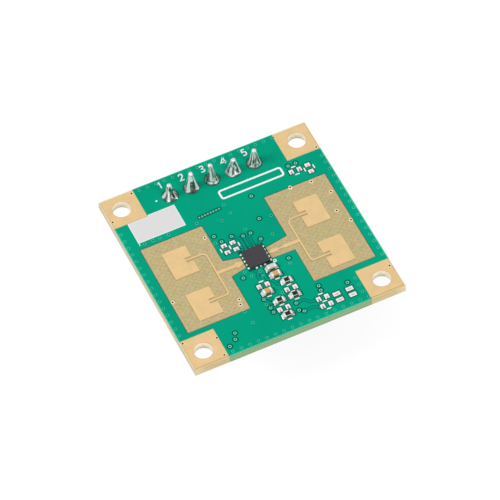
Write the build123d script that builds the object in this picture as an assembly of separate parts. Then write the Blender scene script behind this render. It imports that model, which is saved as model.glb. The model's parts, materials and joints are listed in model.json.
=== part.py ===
"""Microwave radar sensor module.

A square circuit board with two antenna arrays of two inset-fed patches each, a small
transceiver chip between them, chip parts down the middle and a five-pin header whose
tails come up through the board under tall solder joints.

Frame: origin at the centre of the four mounting holes, on the underside of the bare
corner pads. +Z is up, out of the antenna face. +Y points at the header. Millimetres.
"""
from build123d import *

import os
from dataclasses import dataclass
from math import sqrt

# Board and its layers
BOARD_X = 25.0
BOARD_Y = 25.2
BOARD_T = 1.0  # over both copper layers
COPPER_T = 0.035
MASK_T = 0.02
PRINT_T = 0.015
LAYOUT_X = BOARD_X / 25.0  # 1 at the true size; places on the board stretch with its outline
LAYOUT_Y = BOARD_Y / 25.2
COPPER_GAP_X = 0.15  # copper to board edge, left and right
COPPER_GAP_Y = 0.25  # copper to board edge, front and back
MASK_GAP = 0.05  # solder mask to board edge
POUR_GAP = 0.1  # ground copper back from an opening or an island
TRACE_AREA_X = 2.3 * LAYOUT_X  # half width of the area of traces and chip parts, clear of ground copper
TRACE_AREA_FRONT = 9.4 * LAYOUT_Y  # transceiver middle to that area's front edge

# Mounting holes and the bare corner pads round them
HOLE_SPACING_X = 21.2 * LAYOUT_X
HOLE_SPACING_Y = 21.2 * LAYOUT_Y
HOLE_D = 2.1
PAD_REACH = 2.15  # hole centre to a corner pad's inner edges

# Patch antennas, fed from the side that faces the transceiver
PATCH_L = 2.85
PATCH_W = 3.82
PATCH_PITCH = 6.12 * LAYOUT_Y
PATCH_X = 7.875 * LAYOUT_X  # patch middle
FEED_W = 0.2
SLOT_L = 0.8
SLOT_W = 0.23
FEED_RUN = 1.52 * LAYOUT_X  # patch to the line that joins the two patches
BACK_BEND_R = 0.6
FRONT_BEND_R = 0.3
TRUNK_W = 0.44
ARROW_L = 0.86
ARROW_W = 0.9
NECK_W = 0.2
NECK_L = 0.62
STUB_W = 0.5
STUB_L = 0.5
TIP_TAPER_L = 0.6
STEP_L = 0.12
TIP_W = 0.22


@dataclass
class Window:
    """Mask opening over one array, measured from the board's side edge and the feed axis."""

    side: int
    edge_gap: float
    inner_gap: float
    back: float
    front: float
    throat_back: float
    throat_front: float
    tip_back: float
    tip_front: float


LEFT_WINDOW = Window(-1, 1.39, 1.2, 6.53, 5.87, 1.17, 1.15, 0.75, 0.78)
RIGHT_WINDOW = Window(1, 1.17, 0.97, 6.98, 5.71, 1.17, 0.94, 0.75, 0.88)

# Transceiver chip: five leads on each side, three at the front and back
CHIP_X = -0.3 * LAYOUT_X
CHIP_Y = -1.93 * LAYOUT_Y
CHIP_SIDE = 2.4
CHIP_H = 0.37
CHIP_LEAD_PITCH = 0.5
CHIP_LEAD_W = 0.26
CHIP_LEAD_REACH = 0.22  # beyond the body
CHIP_LEAD_H = 0.12
CHIP_STANDOFF = 0.03
CHIP_EDGE = 0.03  # chamfer round the top
CHIP_SIDE_LEAD_COUNT = 5
CHIP_END_LEAD_COUNT = 3

# Microcontroller on the underside, with the same leads all round
CONTROLLER_X = -4.2 * LAYOUT_X
CONTROLLER_Y = -3.6 * LAYOUT_Y
CONTROLLER_SIDE = 4.0
CONTROLLER_H = 0.75
CONTROLLER_LEAD_COUNT = 5

# Chip parts of the 1.0 by 0.5 size and their lands
CHIP_PART_L = 1.0
CHIP_PART_W = 0.5
CAPACITOR_H = 0.5
RESISTOR_H = 0.35
TERMINAL_L = 0.22
BODY_INSET = 0.01  # a body is this much slimmer than its terminals
COAT_T = 0.02
LAND_L = 0.52
LAND_W = 0.62
LAND_PITCH = 0.96
WIDE_LAND_W = 0.85
WIDE_LAND_PITCH = 0.85
SOLDER_FILM = 0.03
BARE_SOLDER_T = 0.06
FILLET_SHARE = 0.75  # solder fillet height over terminal height

# Bulk capacitor on the underside
BULK_L = 2.0
BULK_W = 1.25
BULK_H = 0.9
BULK_TERMINAL_L = 0.4
BULK_LAND_L = 1.0
BULK_LAND_W = 1.35
BULK_LAND_PITCH = 1.9

# Print on the antenna face
LABEL_X = 5.67 * LAYOUT_X
LABEL_Y = 3.1 * LAYOUT_Y
LABEL_LEFT_GAP = 1.61 * LAYOUT_X  # board edge to the label box
LABEL_OVER_PAD = 0.13  # box past the corner pad's inner edge
BAR_L = 0.52
BAR_W = 0.13
PRINT_GAP = 0.05  # label box to the edge of the mask

# Pin header
PIN_COUNT = 5
PIN_PITCH = 2.54
PIN_ROW_IN = 2.72 * LAYOUT_Y  # header row to the board's back edge
PIN_SIDE = 0.64
PIN_END_SIDE = 0.3
PIN_POINT_L = 0.9
PIN_MATING_L = 6.0
PIN_TAIL_L = 3.0
STRIP_H = 2.54
STRIP_W = 2.5
STRIP_CHAMFER = 0.45
LAND_R = 0.95
BARREL_R = 0.525

# Solder joint over a pin tail, heights from the land
JOINT_FOOT_R = 0.92
JOINT_SKIRT_R = 0.56
JOINT_SKIRT_H = 0.5
JOINT_WAIST_SIDE = 0.74
JOINT_WAIST_H = 1.1
JOINT_NECK_SIDE = 0.44
JOINT_TIP_SIDE = 0.14
JOINT_TIP_L = 0.15
JOINT_H = (2.1, 2.65, 2.7, 2.15, 2.4)  # from pin 1 to pin 5, as hand soldering left them

# Packages on the underside
PACKAGE_CLEARANCE = 0.1
LEAD_T = 0.15
PACKAGE_DRAFT = 8.0

# Heights of the layers
Z_LAMINATE = COPPER_T
Z_LAMINATE_TOP = BOARD_T - COPPER_T
Z_MASK_TOP = BOARD_T + MASK_T

BACK = BOARD_Y / 2
FRONT = -BOARD_Y / 2
RIGHT = BOARD_X / 2
LEFT = -BOARD_X / 2
PAD_IN_X = HOLE_SPACING_X / 2 - PAD_REACH * LAYOUT_X
PAD_IN_Y = HOLE_SPACING_Y / 2 - PAD_REACH * LAYOUT_Y
PIN_ROW_Y = BACK - PIN_ROW_IN
JOIN_X = PATCH_X - PATCH_L / 2 - FEED_RUN
CHIP_REACH = CHIP_SIDE / 2 + CHIP_LEAD_REACH



def spread(x, y, offsets):
    """Places by their offsets from a point, as on the board at its true size."""
    return [(x + along * LAYOUT_X, y + across * LAYOUT_Y) for along, across in offsets]


# Where the chip parts stand, along X unless their list says otherwise
CAPACITORS = spread(0, CHIP_Y, [(0.59, -2.08), (0.59, -3.1), (-1.2, -4.82)])
RESISTORS = spread(0, CHIP_Y, [(1.32, -4.37), (1.32, -6.44), (-0.51, -6.44), (-0.51, -8.51)])
BARE_PAIRS = [
    *spread(0, CHIP_Y, [(-1.2, -3.76), (1.33, -5.43), (-0.51, -7.5)]),
    *spread(0, FRONT, [(3.81, 2.55), (3.81, 1.51)]),
    *spread(RIGHT, BACK, [(-3.86, -5.75)]),
]
BARE_PAIRS_ALONG_Y = [
    *spread(0, CHIP_Y, [(-2.74, 2.47), (-1.7, 2.47)]),
    *spread(RIGHT, BACK, [(-2.34, -6.12)]),
]
WIDE_PAIRS = spread(0, FRONT, [(5.37, 1.93), (6.91, 1.93)])
PRINT_BARS = [
    *spread(0, CHIP_Y, [(-1.2, -3.2), (-1.2, -5.35), (0.59, -3.62)]),
    *spread(0, CHIP_Y, [(1.32, -3.83), (1.32, -4.91), (1.32, -5.9), (1.32, -6.98)]),
    *spread(0, CHIP_Y, [(-0.51, -5.9), (-0.51, -6.98), (-0.51, -7.97), (-0.51, -9.05)]),
    *spread(0, FRONT, [(3.81, 3.12), (3.81, 2.05), (3.81, 0.98)]),
    *spread(RIGHT, BACK, [(-3.86, -5.21), (-3.86, -6.29)]),
]
PRINT_BARS_ALONG_Y = [
    *spread(0, CHIP_Y, [(-3.28, 2.47), (-2.22, 2.47), (-1.16, 2.47)]),
    *spread(RIGHT, BACK, [(-2.88, -6.12), (-1.8, -6.12)]),
]
UNDER_CAPACITORS = spread(0, 0, [(-7.2, 1.2), (-5.4, 1.2), (5.2, -7.4), (7.0, -7.4)])
BULK_CAPACITOR = spread(0, 0, [(7.9, 5.0)])[0]
AMPLIFIER_PLACE = spread(0, 0, [(6.2, -3.4)])[0]
REGULATOR_PLACE = spread(0, 0, [(3.4, 4.6)])[0]


@dataclass
class Package:
    """A moulded package on the underside with gull-wing leads on its two Y faces."""

    name: str
    x: float
    y: float
    body_x: float
    body_y: float
    height: float
    span: float
    pitch: float
    lead_w: float
    foot: float
    back_leads: tuple
    front_leads: tuple


def lead_row(count):
    """Lead places of a full row, in pitches from the middle."""
    return tuple(i - (count - 1) / 2 for i in range(count))


PACKAGES = [
    Package("amplifier", *AMPLIFIER_PLACE, 3.0, 3.0, 0.95, 4.9, 0.65, 0.3, 0.55, lead_row(4), lead_row(4)),
    Package("regulator", *REGULATOR_PLACE, 2.9, 1.6, 1.05, 2.8, 0.95, 0.4, 0.4, (-1, 1), lead_row(3)),
]


def slab(face, low, high):
    """A flat layer of the given outline between two heights."""
    return Pos(0, 0, low) * extrude(face, high - low)


def box(x, y, low, size_x, size_y, height):
    """A block by the middle of its footprint and its underside."""
    return Pos(x, y, low + height / 2) * Box(size_x, size_y, height)


def rectangle(x_min, x_max, y_min, y_max):
    return Pos((x_min + x_max) / 2, (y_min + y_max) / 2) * Rectangle(x_max - x_min, y_max - y_min)


def polygon(points):
    return make_face(Polyline(*points, close=True))


def all_of(shapes):
    """One compound that keeps its solids separate."""
    return Compound(children=[solid for shape in shapes for solid in shape.solids()])


def hole_places():
    half_x = HOLE_SPACING_X / 2
    half_y = HOLE_SPACING_Y / 2
    return [(x, y) for x in (-half_x, half_x) for y in (-half_y, half_y)]


def pin_places():
    return [((i - (PIN_COUNT - 1) / 2) * PIN_PITCH, PIN_ROW_Y) for i in range(PIN_COUNT)]


def mounting_holes():
    return Sketch() + [Pos(x, y) * Circle(HOLE_D / 2) for x, y in hole_places()]


def pin_circles(radius):
    return Sketch() + [Pos(x, y) * Circle(radius) for x, y in pin_places()]


def corner_openings():
    """Mask openings from each corner pad's inner edges out past the board edge."""
    out_x = BOARD_X
    out_y = BOARD_Y
    sides = [(PAD_IN_X, out_x), (-out_x, -PAD_IN_X)]
    ends = [(PAD_IN_Y, out_y), (-out_y, -PAD_IN_Y)]
    return Sketch() + [rectangle(*side, *end) for side in sides for end in ends]


def window_opening(window):
    """Mask opening over one array, with the throat that runs to the transceiver."""
    outer = window.side * (RIGHT - window.edge_gap * LAYOUT_X)
    inner = window.side * (JOIN_X - window.inner_gap * LAYOUT_X)
    back = CHIP_Y + window.back * LAYOUT_Y
    front = CHIP_Y - window.front * LAYOUT_Y
    tip = CHIP_X + window.side * (CHIP_REACH + POUR_GAP)
    field = rectangle(min(outer, inner), max(outer, inner), front, back)
    throat = polygon([
        (inner, CHIP_Y + window.throat_back),
        (tip, CHIP_Y + window.tip_back),
        (tip, CHIP_Y - window.tip_front),
        (inner, CHIP_Y - window.throat_front),
    ])
    return field + throat


def patch(side, y):
    """One patch with the two slots that flank its feed."""
    plate = Pos(side * PATCH_X, y) * Rectangle(PATCH_L, PATCH_W)
    slot_x = side * (PATCH_X - PATCH_L / 2 + SLOT_L / 2)
    slot_y = (FEED_W + SLOT_W) / 2
    slots = [Pos(slot_x, y + s * slot_y) * Rectangle(SLOT_L, SLOT_W) for s in (-1, 1)]
    return plate - slots


def joining_line(side):
    """The line that feeds both patches, bent once at each end."""
    reach = side * (PATCH_X - PATCH_L / 2 + SLOT_L / 2)
    back = CHIP_Y + PATCH_PITCH / 2
    front = CHIP_Y - PATCH_PITCH / 2
    join = side * JOIN_X
    corners = [(reach, back), (join, back), (join, front), (reach, front)]
    return trace(FilletPolyline(*corners, radius=[BACK_BEND_R, FRONT_BEND_R]), FEED_W)


def trunk(side, stations):
    """The straight line to the transceiver, as half widths at distances from its lead end."""
    end = CHIP_X + side * CHIP_REACH
    edge = [(end + side * along, width / 2) for along, width in stations]
    upper = [(x, CHIP_Y + half) for x, half in edge]
    lower = [(x, CHIP_Y - half) for x, half in reversed(edge)]
    return polygon(upper + lower)


def left_stations():
    run = abs(-JOIN_X - (CHIP_X - CHIP_REACH))
    return [(0, TIP_W), (ARROW_L, ARROW_W), (ARROW_L + STEP_L, TRUNK_W), (run, TRUNK_W)]


def right_stations():
    run = JOIN_X - (CHIP_X + CHIP_REACH)
    stub = TIP_TAPER_L + STUB_L
    neck = stub + STEP_L + NECK_L
    return [
        (0, TIP_W),
        (TIP_TAPER_L, STUB_W),
        (stub, STUB_W),
        (stub + STEP_L, NECK_W),
        (neck, NECK_W),
        (neck + STEP_L, TRUNK_W),
        (run, TRUNK_W),
    ]


def antenna_copper(side):
    """Patches, feeds and trunk of one array, all one sheet of copper."""
    patches = [patch(side, CHIP_Y + s * PATCH_PITCH / 2) for s in (-1, 1)]
    stations = right_stations() if side > 0 else left_stations()
    sheet = patches[0] + patches[1] + joining_line(side) + trunk(side, stations)
    return slab(sheet, Z_LAMINATE_TOP, BOARD_T)


def turned(shape, x, y, along_y):
    """A shape drawn along X at the origin, set in place and turned to lie along Y if asked."""
    return Pos(x, y, 0) * Rot(0, 0, 90 if along_y else 0) * shape


def lands(length, width, pitch, low, high):
    """A pair of flat lands at the origin."""
    return [box(s * pitch / 2, 0, low, length, width, high - low) for s in (-1, 1)]


def bare_lands():
    """Tinned lands of the places that are left empty."""
    top = BOARD_T + BARE_SOLDER_T
    small = lands(LAND_L, LAND_W, LAND_PITCH, Z_LAMINATE_TOP, top)
    wide = lands(LAND_L, WIDE_LAND_W, WIDE_LAND_PITCH, Z_LAMINATE_TOP, top)
    placed = [turned(land, x, y, False) for x, y in BARE_PAIRS for land in small]
    placed += [turned(land, x, y, True) for x, y in BARE_PAIRS_ALONG_Y for land in small]
    placed += [turned(land, x, y, True) for x, y in WIDE_PAIRS for land in wide]
    return placed


def soldered_terminal(length, width, height, terminal_l, foot_x):
    """Metal end of a chip part with the concave wedge of solder that climbs it."""
    low = BOARD_T + SOLDER_FILM
    end = length / 2
    climb = height * FILLET_SHARE
    outline = polygon([
        (end - terminal_l, low),
        (foot_x, low),
        (end, low + climb),
        (end, low + height),
        (end - terminal_l, low + height),
    ])
    return extrude(Plane.XZ * outline, width / 2, both=True)


def chip_part(length, width, height, terminal_l, land_l, land_w, pitch):
    """Body and two soldered terminals of a chip part, standing on the board's top copper."""
    seat = BOARD_T + SOLDER_FILM
    body_w = width - 2 * BODY_INSET
    body_h = height - 2 * BODY_INSET
    body = box(0, 0, seat + BODY_INSET, length - 2 * terminal_l, body_w, body_h)
    land = box(pitch / 2, 0, Z_LAMINATE_TOP, land_l, land_w, seat - Z_LAMINATE_TOP)
    terminal = soldered_terminal(length, width, height, terminal_l, (pitch + land_l) / 2) + land
    return body, [terminal, Rot(0, 0, 180) * terminal]


def small_chip_part(height):
    return chip_part(CHIP_PART_L, CHIP_PART_W, height, TERMINAL_L, LAND_L, LAND_W, LAND_PITCH)


def resistor_coats():
    """Dark glass over each resistor's element, level between the terminals."""
    top = BOARD_T + SOLDER_FILM + RESISTOR_H - BODY_INSET
    size_x = CHIP_PART_L - 2 * TERMINAL_L
    size_y = CHIP_PART_W - 2 * BODY_INSET
    return [box(x, y, top, size_x, size_y, COAT_T) for x, y in RESISTORS]


def flat_leads(x, y, side, side_leads, end_leads):
    """Lead ends of a package without gull wings, with their lands and solder, on all four sides."""
    height = BOARD_T + CHIP_LEAD_H - Z_LAMINATE_TOP
    middle = (side + CHIP_LEAD_REACH) / 2
    lead = box(middle, 0, Z_LAMINATE_TOP, CHIP_LEAD_REACH, CHIP_LEAD_W, height)
    leads = []
    for quarter, count in enumerate([side_leads, end_leads] * 2):
        face = Pos(x, y, 0) * Rot(0, 0, quarter * 90)
        leads += [face * Pos(0, step * CHIP_LEAD_PITCH, 0) * lead for step in lead_row(count)]
    return leads


def flat_body(x, y, side, height):
    block = box(x, y, BOARD_T + CHIP_STANDOFF, side, side, height)
    return chamfer(block.edges().group_by(Axis.Z)[-1], CHIP_EDGE)


def flat_field(x, y, side, gap):
    """Footprint of such a package with its leads, widened by a gap."""
    reach = side + 2 * (CHIP_LEAD_REACH + gap)
    return Pos(x, y) * Rectangle(reach, reach)


def gull_lead(package):
    """One lead on its land, drawn with the underside of the board at height zero, facing up."""
    edge = package.body_y / 2
    tip = package.span / 2
    mid = package.height / 2
    knee = (edge + tip - package.foot) / 2
    heel = tip - package.foot
    outline = polygon([
        (edge, mid - LEAD_T / 2),
        (edge, mid + LEAD_T / 2),
        (knee, mid + LEAD_T / 2),
        (heel + LEAD_T, LEAD_T),
        (tip, LEAD_T),
        (tip, -COPPER_T),
        (heel, -COPPER_T),
        (knee - LEAD_T / 2, mid - LEAD_T / 2),
    ])
    return extrude(Plane.YZ * outline, package.lead_w / 2, both=True)


def underside(shape):
    """Turns a shape that stands on height zero over, to hang from the underside."""
    return mirror(shape, Plane.XY)


def package_leads(package):
    lead = gull_lead(package)
    back = [Pos(step * package.pitch, 0, 0) * lead for step in package.back_leads]
    front = [Pos(step * package.pitch, 0, 0) * Rot(0, 0, 180) * lead for step in package.front_leads]
    return [Pos(package.x, package.y, 0) * underside(one) for one in back + front]


def package_body(package):
    """Moulded body with drafted sides that meet at the level of the leads."""
    mid = package.height / 2
    half = mid - PACKAGE_CLEARANCE
    outline = Rectangle(package.body_x, package.body_y)
    upper = Pos(0, 0, mid) * extrude(outline, mid, taper=PACKAGE_DRAFT)
    lower = Pos(0, 0, mid) * extrude(outline, -half, taper=PACKAGE_DRAFT)
    return Pos(package.x, package.y, 0) * underside(upper + lower)


def package_field(package, gap):
    """Footprint of a package with its leads, widened by a gap."""
    return Pos(package.x, package.y) * Rectangle(package.body_x + 2 * gap, package.span + 2 * gap)


def land_field(x, y, land_l, land_w, pitch, along_y, gap):
    """Footprint of a pair of lands, widened by a gap."""
    size = (pitch + land_l + 2 * gap, land_w + 2 * gap)
    return Pos(x, y) * Rectangle(*(reversed(size) if along_y else size))


def rectangle_of(land):
    """Footprint of one land."""
    corners = land.bounding_box()
    return rectangle(corners.min.X, corners.max.X, corners.min.Y, corners.max.Y)


def header_field():
    """Footprint of the row of header lands, kept clear of ground copper."""
    size_x = (PIN_COUNT - 1) * PIN_PITCH + 2 * (LAND_R + POUR_GAP)
    return Pos(0, PIN_ROW_Y) * Rectangle(size_x, 2 * (LAND_R + POUR_GAP))


def top_fields():
    """Everything on the antenna face that the ground copper stays clear of."""
    openings = [window_opening(window) for window in (LEFT_WINDOW, RIGHT_WINDOW)]
    fields = [offset(opening, amount=POUR_GAP, kind=Kind.INTERSECTION) for opening in openings]
    pairs = [(x, y, False) for x, y in BARE_PAIRS if abs(x) > TRACE_AREA_X]
    pairs += [(x, y, True) for x, y in BARE_PAIRS_ALONG_Y]
    fields += [land_field(x, y, LAND_L, LAND_W, LAND_PITCH, turn, POUR_GAP) for x, y, turn in pairs]
    fields += [land_field(x, y, LAND_L, WIDE_LAND_W, WIDE_LAND_PITCH, True, POUR_GAP) for x, y in WIDE_PAIRS]
    fields.append(rectangle(-TRACE_AREA_X, TRACE_AREA_X, CHIP_Y - TRACE_AREA_FRONT, CHIP_Y))
    return fields + [flat_field(CHIP_X, CHIP_Y, CHIP_SIDE, POUR_GAP), header_field()]


def bottom_fields(gap):
    """Everything on the underside that ground copper or mask stays clear of, widened by a gap."""
    fields = [package_field(package, gap) for package in PACKAGES]
    fields += [land_field(x, y, LAND_L, LAND_W, LAND_PITCH, True, gap) for x, y in UNDER_CAPACITORS]
    fields.append(land_field(*BULK_CAPACITOR, BULK_LAND_L, BULK_LAND_W, BULK_LAND_PITCH, True, gap))
    return fields + [flat_field(CONTROLLER_X, CONTROLLER_Y, CONTROLLER_SIDE, gap), header_field()]


def laminate():
    holes = mounting_holes() + pin_circles(BARREL_R)
    return slab(Rectangle(BOARD_X, BOARD_Y) - holes, Z_LAMINATE, Z_LAMINATE_TOP)


def copper_outline():
    return Rectangle(BOARD_X - 2 * COPPER_GAP_X, BOARD_Y - 2 * COPPER_GAP_Y)


def ground_copper(fields, low, high):
    face = copper_outline() - mounting_holes()
    for field in fields:
        face = face - field
    return slab(face, low, high)


def solder_mask(openings):
    """Outline of the mask on one face: bare at the corner pads, round the lands and in the openings."""
    face = Rectangle(BOARD_X - 2 * MASK_GAP, BOARD_Y - 2 * MASK_GAP) - corner_openings()
    for opening in openings:
        face = face - opening
    return face


def solder_mask_top():
    """Mask over the antenna face, with a rim that comes down past the copper to the laminate."""
    openings = [window_opening(window) for window in (LEFT_WINDOW, RIGHT_WINDOW)]
    openings += [land_field(x, y, LAND_L, LAND_W, LAND_PITCH, False, 0) for x, y in CAPACITORS + RESISTORS]
    openings += [rectangle_of(land) for land in bare_lands()]
    face = solder_mask(openings + [flat_field(CHIP_X, CHIP_Y, CHIP_SIDE, 0), pin_circles(LAND_R)])
    return slab(face, BOARD_T, Z_MASK_TOP) + slab(face - copper_outline(), Z_LAMINATE_TOP, BOARD_T)


def solder_mask_bottom():
    """Mask over the underside's copper, open along the whole row of header lands, under the strip."""
    return slab(solder_mask(bottom_fields(0)) & copper_outline(), -MASK_T, 0)


def header_lands(pins):
    """Round land on top, square one below and the filled barrel between, one solid for each pin."""
    bottom = slab(Rectangle(2 * LAND_R, 2 * LAND_R), 0, Z_LAMINATE)
    top = slab(Circle(LAND_R), Z_LAMINATE_TOP, BOARD_T)
    one = bottom + top + slab(Circle(BARREL_R), 0, BOARD_T)
    return [Pos(x, y, 0) * one - pin for (x, y), pin in zip(pin_places(), pins)]


def tapered_square(stations):
    """A square post about the Z axis, from its side at each height."""
    right = [(side / 2, height) for side, height in stations]
    left = [(-side / 2, height) for side, height in reversed(stations)]
    prism = extrude(Plane.XZ * polygon(right + left), stations[0][0] + stations[1][0], both=True)
    return prism & Rot(0, 0, 90) * prism


def header_pin(x, y):
    """Square pin with a tapered point at each end."""
    top = PIN_TAIL_L - MASK_T
    bottom = -MASK_T - STRIP_H - PIN_MATING_L
    return Pos(x, y, 0) * tapered_square([
        (PIN_END_SIDE, bottom),
        (PIN_SIDE, bottom + PIN_POINT_L),
        (PIN_SIDE, top - PIN_POINT_L),
        (PIN_END_SIDE, top),
    ])


def header_strip():
    """Moulded strip of square cells with chamfered corners, flush under the board."""
    face = Sketch()
    for x, y in pin_places():
        cell = chamfer(Rectangle(PIN_PITCH, STRIP_W).vertices(), STRIP_CHAMFER)
        face = face + Pos(x, y) * cell
    face = face - [Pos(x, y) * Rectangle(PIN_SIDE, PIN_SIDE) for x, y in pin_places()]
    return slab(face, -MASK_T - STRIP_H, -MASK_T)


def solder_joint(x, y, pin, height):
    """Round foot on the land, narrowing to a square spire of solder over the pin tail."""
    foot = Cone(JOINT_FOOT_R, JOINT_SKIRT_R, JOINT_SKIRT_H, align=(Align.CENTER, Align.CENTER, Align.MIN))
    spire = tapered_square([
        (JOINT_SKIRT_R * sqrt(2), JOINT_SKIRT_H),
        (JOINT_WAIST_SIDE, JOINT_WAIST_H),
        (JOINT_NECK_SIDE, height - JOINT_TIP_L),
        (JOINT_TIP_SIDE, height),
    ])
    return Pos(x, y, BOARD_T) * (foot + spire) - pin


def label_box():
    """Blank marking field, cut away where the corner pad's opening runs into it."""
    x_min = LEFT + LABEL_LEFT_GAP
    y_max = PAD_IN_Y + LABEL_OVER_PAD
    field = rectangle(x_min, x_min + LABEL_X, y_max - LABEL_Y, y_max)
    pad = rectangle(-BOARD_X, -PAD_IN_X + PRINT_GAP, PAD_IN_Y - PRINT_GAP, BOARD_Y)
    return field - pad


def print_marks():
    """Short bars at the ends of the chip parts and beside the rows that are left empty."""
    bar = Rectangle(BAR_L, BAR_W)
    marks = [Pos(x, y) * bar for x, y in PRINT_BARS]
    marks += [Pos(x, y) * Rot(0, 0, 90) * bar for x, y in PRINT_BARS_ALONG_Y]
    return marks


def add_chip_parts(parts, stem, places, height):
    body, terminals = small_chip_part(height)
    for i, (x, y) in enumerate(places, 1):
        parts[f"{stem}_{i}_body"] = [turned(body, x, y, False)]
        parts[f"{stem}_{i}_terminals"] = [turned(terminal, x, y, False) for terminal in terminals]


def add_underside_parts(parts):
    """Microcontroller and capacitors, drawn above and turned over about the middle of the board."""
    middle = Plane.XY.offset(BOARD_T / 2)
    small = small_chip_part(CAPACITOR_H)
    bulk = chip_part(BULK_L, BULK_W, BULK_H, BULK_TERMINAL_L, BULK_LAND_L, BULK_LAND_W, BULK_LAND_PITCH)
    named = [(f"bottom_capacitor_{i}", place, small) for i, place in enumerate(UNDER_CAPACITORS, 1)]
    named.append(("bulk_capacitor", BULK_CAPACITOR, bulk))
    for name, (x, y), (body, terminals) in named:
        parts[f"{name}_body"] = [mirror(turned(body, x, y, True), middle)]
        parts[f"{name}_terminals"] = [mirror(turned(one, x, y, True), middle) for one in terminals]
    place = (CONTROLLER_X, CONTROLLER_Y, CONTROLLER_SIDE)
    leads = flat_leads(*place, CONTROLLER_LEAD_COUNT, CONTROLLER_LEAD_COUNT)
    parts["microcontroller_body"] = [mirror(flat_body(*place, CONTROLLER_H), middle)]
    parts["microcontroller_leads"] = [mirror(lead, middle) for lead in leads]


def build():
    """Every node by name, as a list of its solids."""
    parts = {}
    parts["board_laminate"] = [laminate()]
    parts["ground_copper_top"] = [ground_copper(top_fields(), Z_LAMINATE_TOP, BOARD_T)]
    parts["ground_copper_bottom"] = [ground_copper(bottom_fields(POUR_GAP), 0, Z_LAMINATE)]
    parts["antenna_copper_left"] = [antenna_copper(-1)]
    parts["antenna_copper_right"] = [antenna_copper(1)]
    pins = [header_pin(x, y) for x, y in pin_places()]
    parts["header_lands"] = header_lands(pins)
    parts["header_strip"] = [header_strip()]
    for i, ((x, y), pin, height) in enumerate(zip(pin_places(), pins, JOINT_H), 1):
        parts[f"header_pin_{i}"] = [pin]
        parts[f"solder_joint_{i}"] = [solder_joint(x, y, pin, height)]
    parts["transceiver_body"] = [flat_body(CHIP_X, CHIP_Y, CHIP_SIDE, CHIP_H)]
    lead_counts = (CHIP_SIDE_LEAD_COUNT, CHIP_END_LEAD_COUNT)
    parts["transceiver_leads"] = flat_leads(CHIP_X, CHIP_Y, CHIP_SIDE, *lead_counts)
    parts["bare_lands"] = bare_lands()
    add_chip_parts(parts, "capacitor", CAPACITORS, CAPACITOR_H)
    add_chip_parts(parts, "resistor", RESISTORS, RESISTOR_H)
    parts["resistor_coats"] = resistor_coats()
    for package in PACKAGES:
        parts[f"{package.name}_body"] = [package_body(package)]
        parts[f"{package.name}_leads"] = package_leads(package)
    add_underside_parts(parts)
    parts["solder_mask_top"] = [solder_mask_top()]
    parts["solder_mask_bottom"] = [solder_mask_bottom()]
    marks = [label_box()] + print_marks()
    parts["print_marks"] = [slab(mark, Z_MASK_TOP, Z_MASK_TOP + PRINT_T) for mark in marks]
    return parts


def main():
    os.makedirs("parts", exist_ok=True)
    for name, solids in build().items():
        export_step(all_of(solids), f"parts/{name}.step")


main()
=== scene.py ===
import json
import math
from dataclasses import dataclass

import bmesh
import bpy
import numpy as np
from mathutils import Matrix, Vector


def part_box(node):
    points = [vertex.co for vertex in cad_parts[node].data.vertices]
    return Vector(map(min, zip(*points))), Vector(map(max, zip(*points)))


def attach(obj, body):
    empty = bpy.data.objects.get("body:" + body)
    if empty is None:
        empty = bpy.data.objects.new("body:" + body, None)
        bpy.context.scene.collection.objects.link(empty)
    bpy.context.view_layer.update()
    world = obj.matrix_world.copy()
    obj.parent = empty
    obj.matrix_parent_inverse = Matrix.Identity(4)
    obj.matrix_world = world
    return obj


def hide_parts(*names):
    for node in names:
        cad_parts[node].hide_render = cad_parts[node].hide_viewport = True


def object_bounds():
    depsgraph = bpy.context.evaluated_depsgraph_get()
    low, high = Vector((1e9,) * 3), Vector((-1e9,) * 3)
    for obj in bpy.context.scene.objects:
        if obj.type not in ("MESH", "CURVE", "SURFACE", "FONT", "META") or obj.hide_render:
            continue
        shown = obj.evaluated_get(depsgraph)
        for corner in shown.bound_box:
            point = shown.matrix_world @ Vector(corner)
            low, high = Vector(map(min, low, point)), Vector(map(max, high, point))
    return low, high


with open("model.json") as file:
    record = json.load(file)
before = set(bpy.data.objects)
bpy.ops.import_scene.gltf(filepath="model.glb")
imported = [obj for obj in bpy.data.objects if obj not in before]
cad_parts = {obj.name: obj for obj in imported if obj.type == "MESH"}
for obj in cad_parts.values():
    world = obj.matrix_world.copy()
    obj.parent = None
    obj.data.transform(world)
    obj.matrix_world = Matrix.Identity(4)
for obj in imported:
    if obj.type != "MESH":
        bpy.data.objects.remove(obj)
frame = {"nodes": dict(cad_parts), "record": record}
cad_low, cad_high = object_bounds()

MM = 0.001

# Camera fitted to the photograph
CAMERA_AZIMUTH = -22.537
CAMERA_ELEVATION = 53.197
CAMERA_ROLL = -3.420
CAMERA_DISTANCE = 520.34
CAMERA_TARGET = (-0.435, -0.729, 1.0)
CAMERA_LENS = 345.87
CAMERA_SENSOR = 36.0
CAMERA_CLIP = (0.05, 5.0)  # metres


def corners(node):
    """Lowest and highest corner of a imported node, in millimetres."""
    low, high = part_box(node)
    return low / MM, high / MM


# Levels and places of the board, from the frame
nodes = frame["nodes"]
BOARD_LOW, BOARD_HIGH = corners("board_laminate")
COPPER_HIGH = corners("ground_copper_top")[1]
COPPER_TOP = COPPER_HIGH.z
MASK_TOP = corners("solder_mask_top")[1].z
LAMINATE_TOP = corners("antenna_copper_left")[0].z
MOUNT = next(row for row in frame["record"]["mounts"] if row["name"] == "mounting_holes")["dims"]
HOLE_AT = MOUNT["spacing_x_mm"] / 2
HOLE_R = MOUNT["hole_r_mm"]
MASK_T = MASK_TOP - COPPER_TOP

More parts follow.
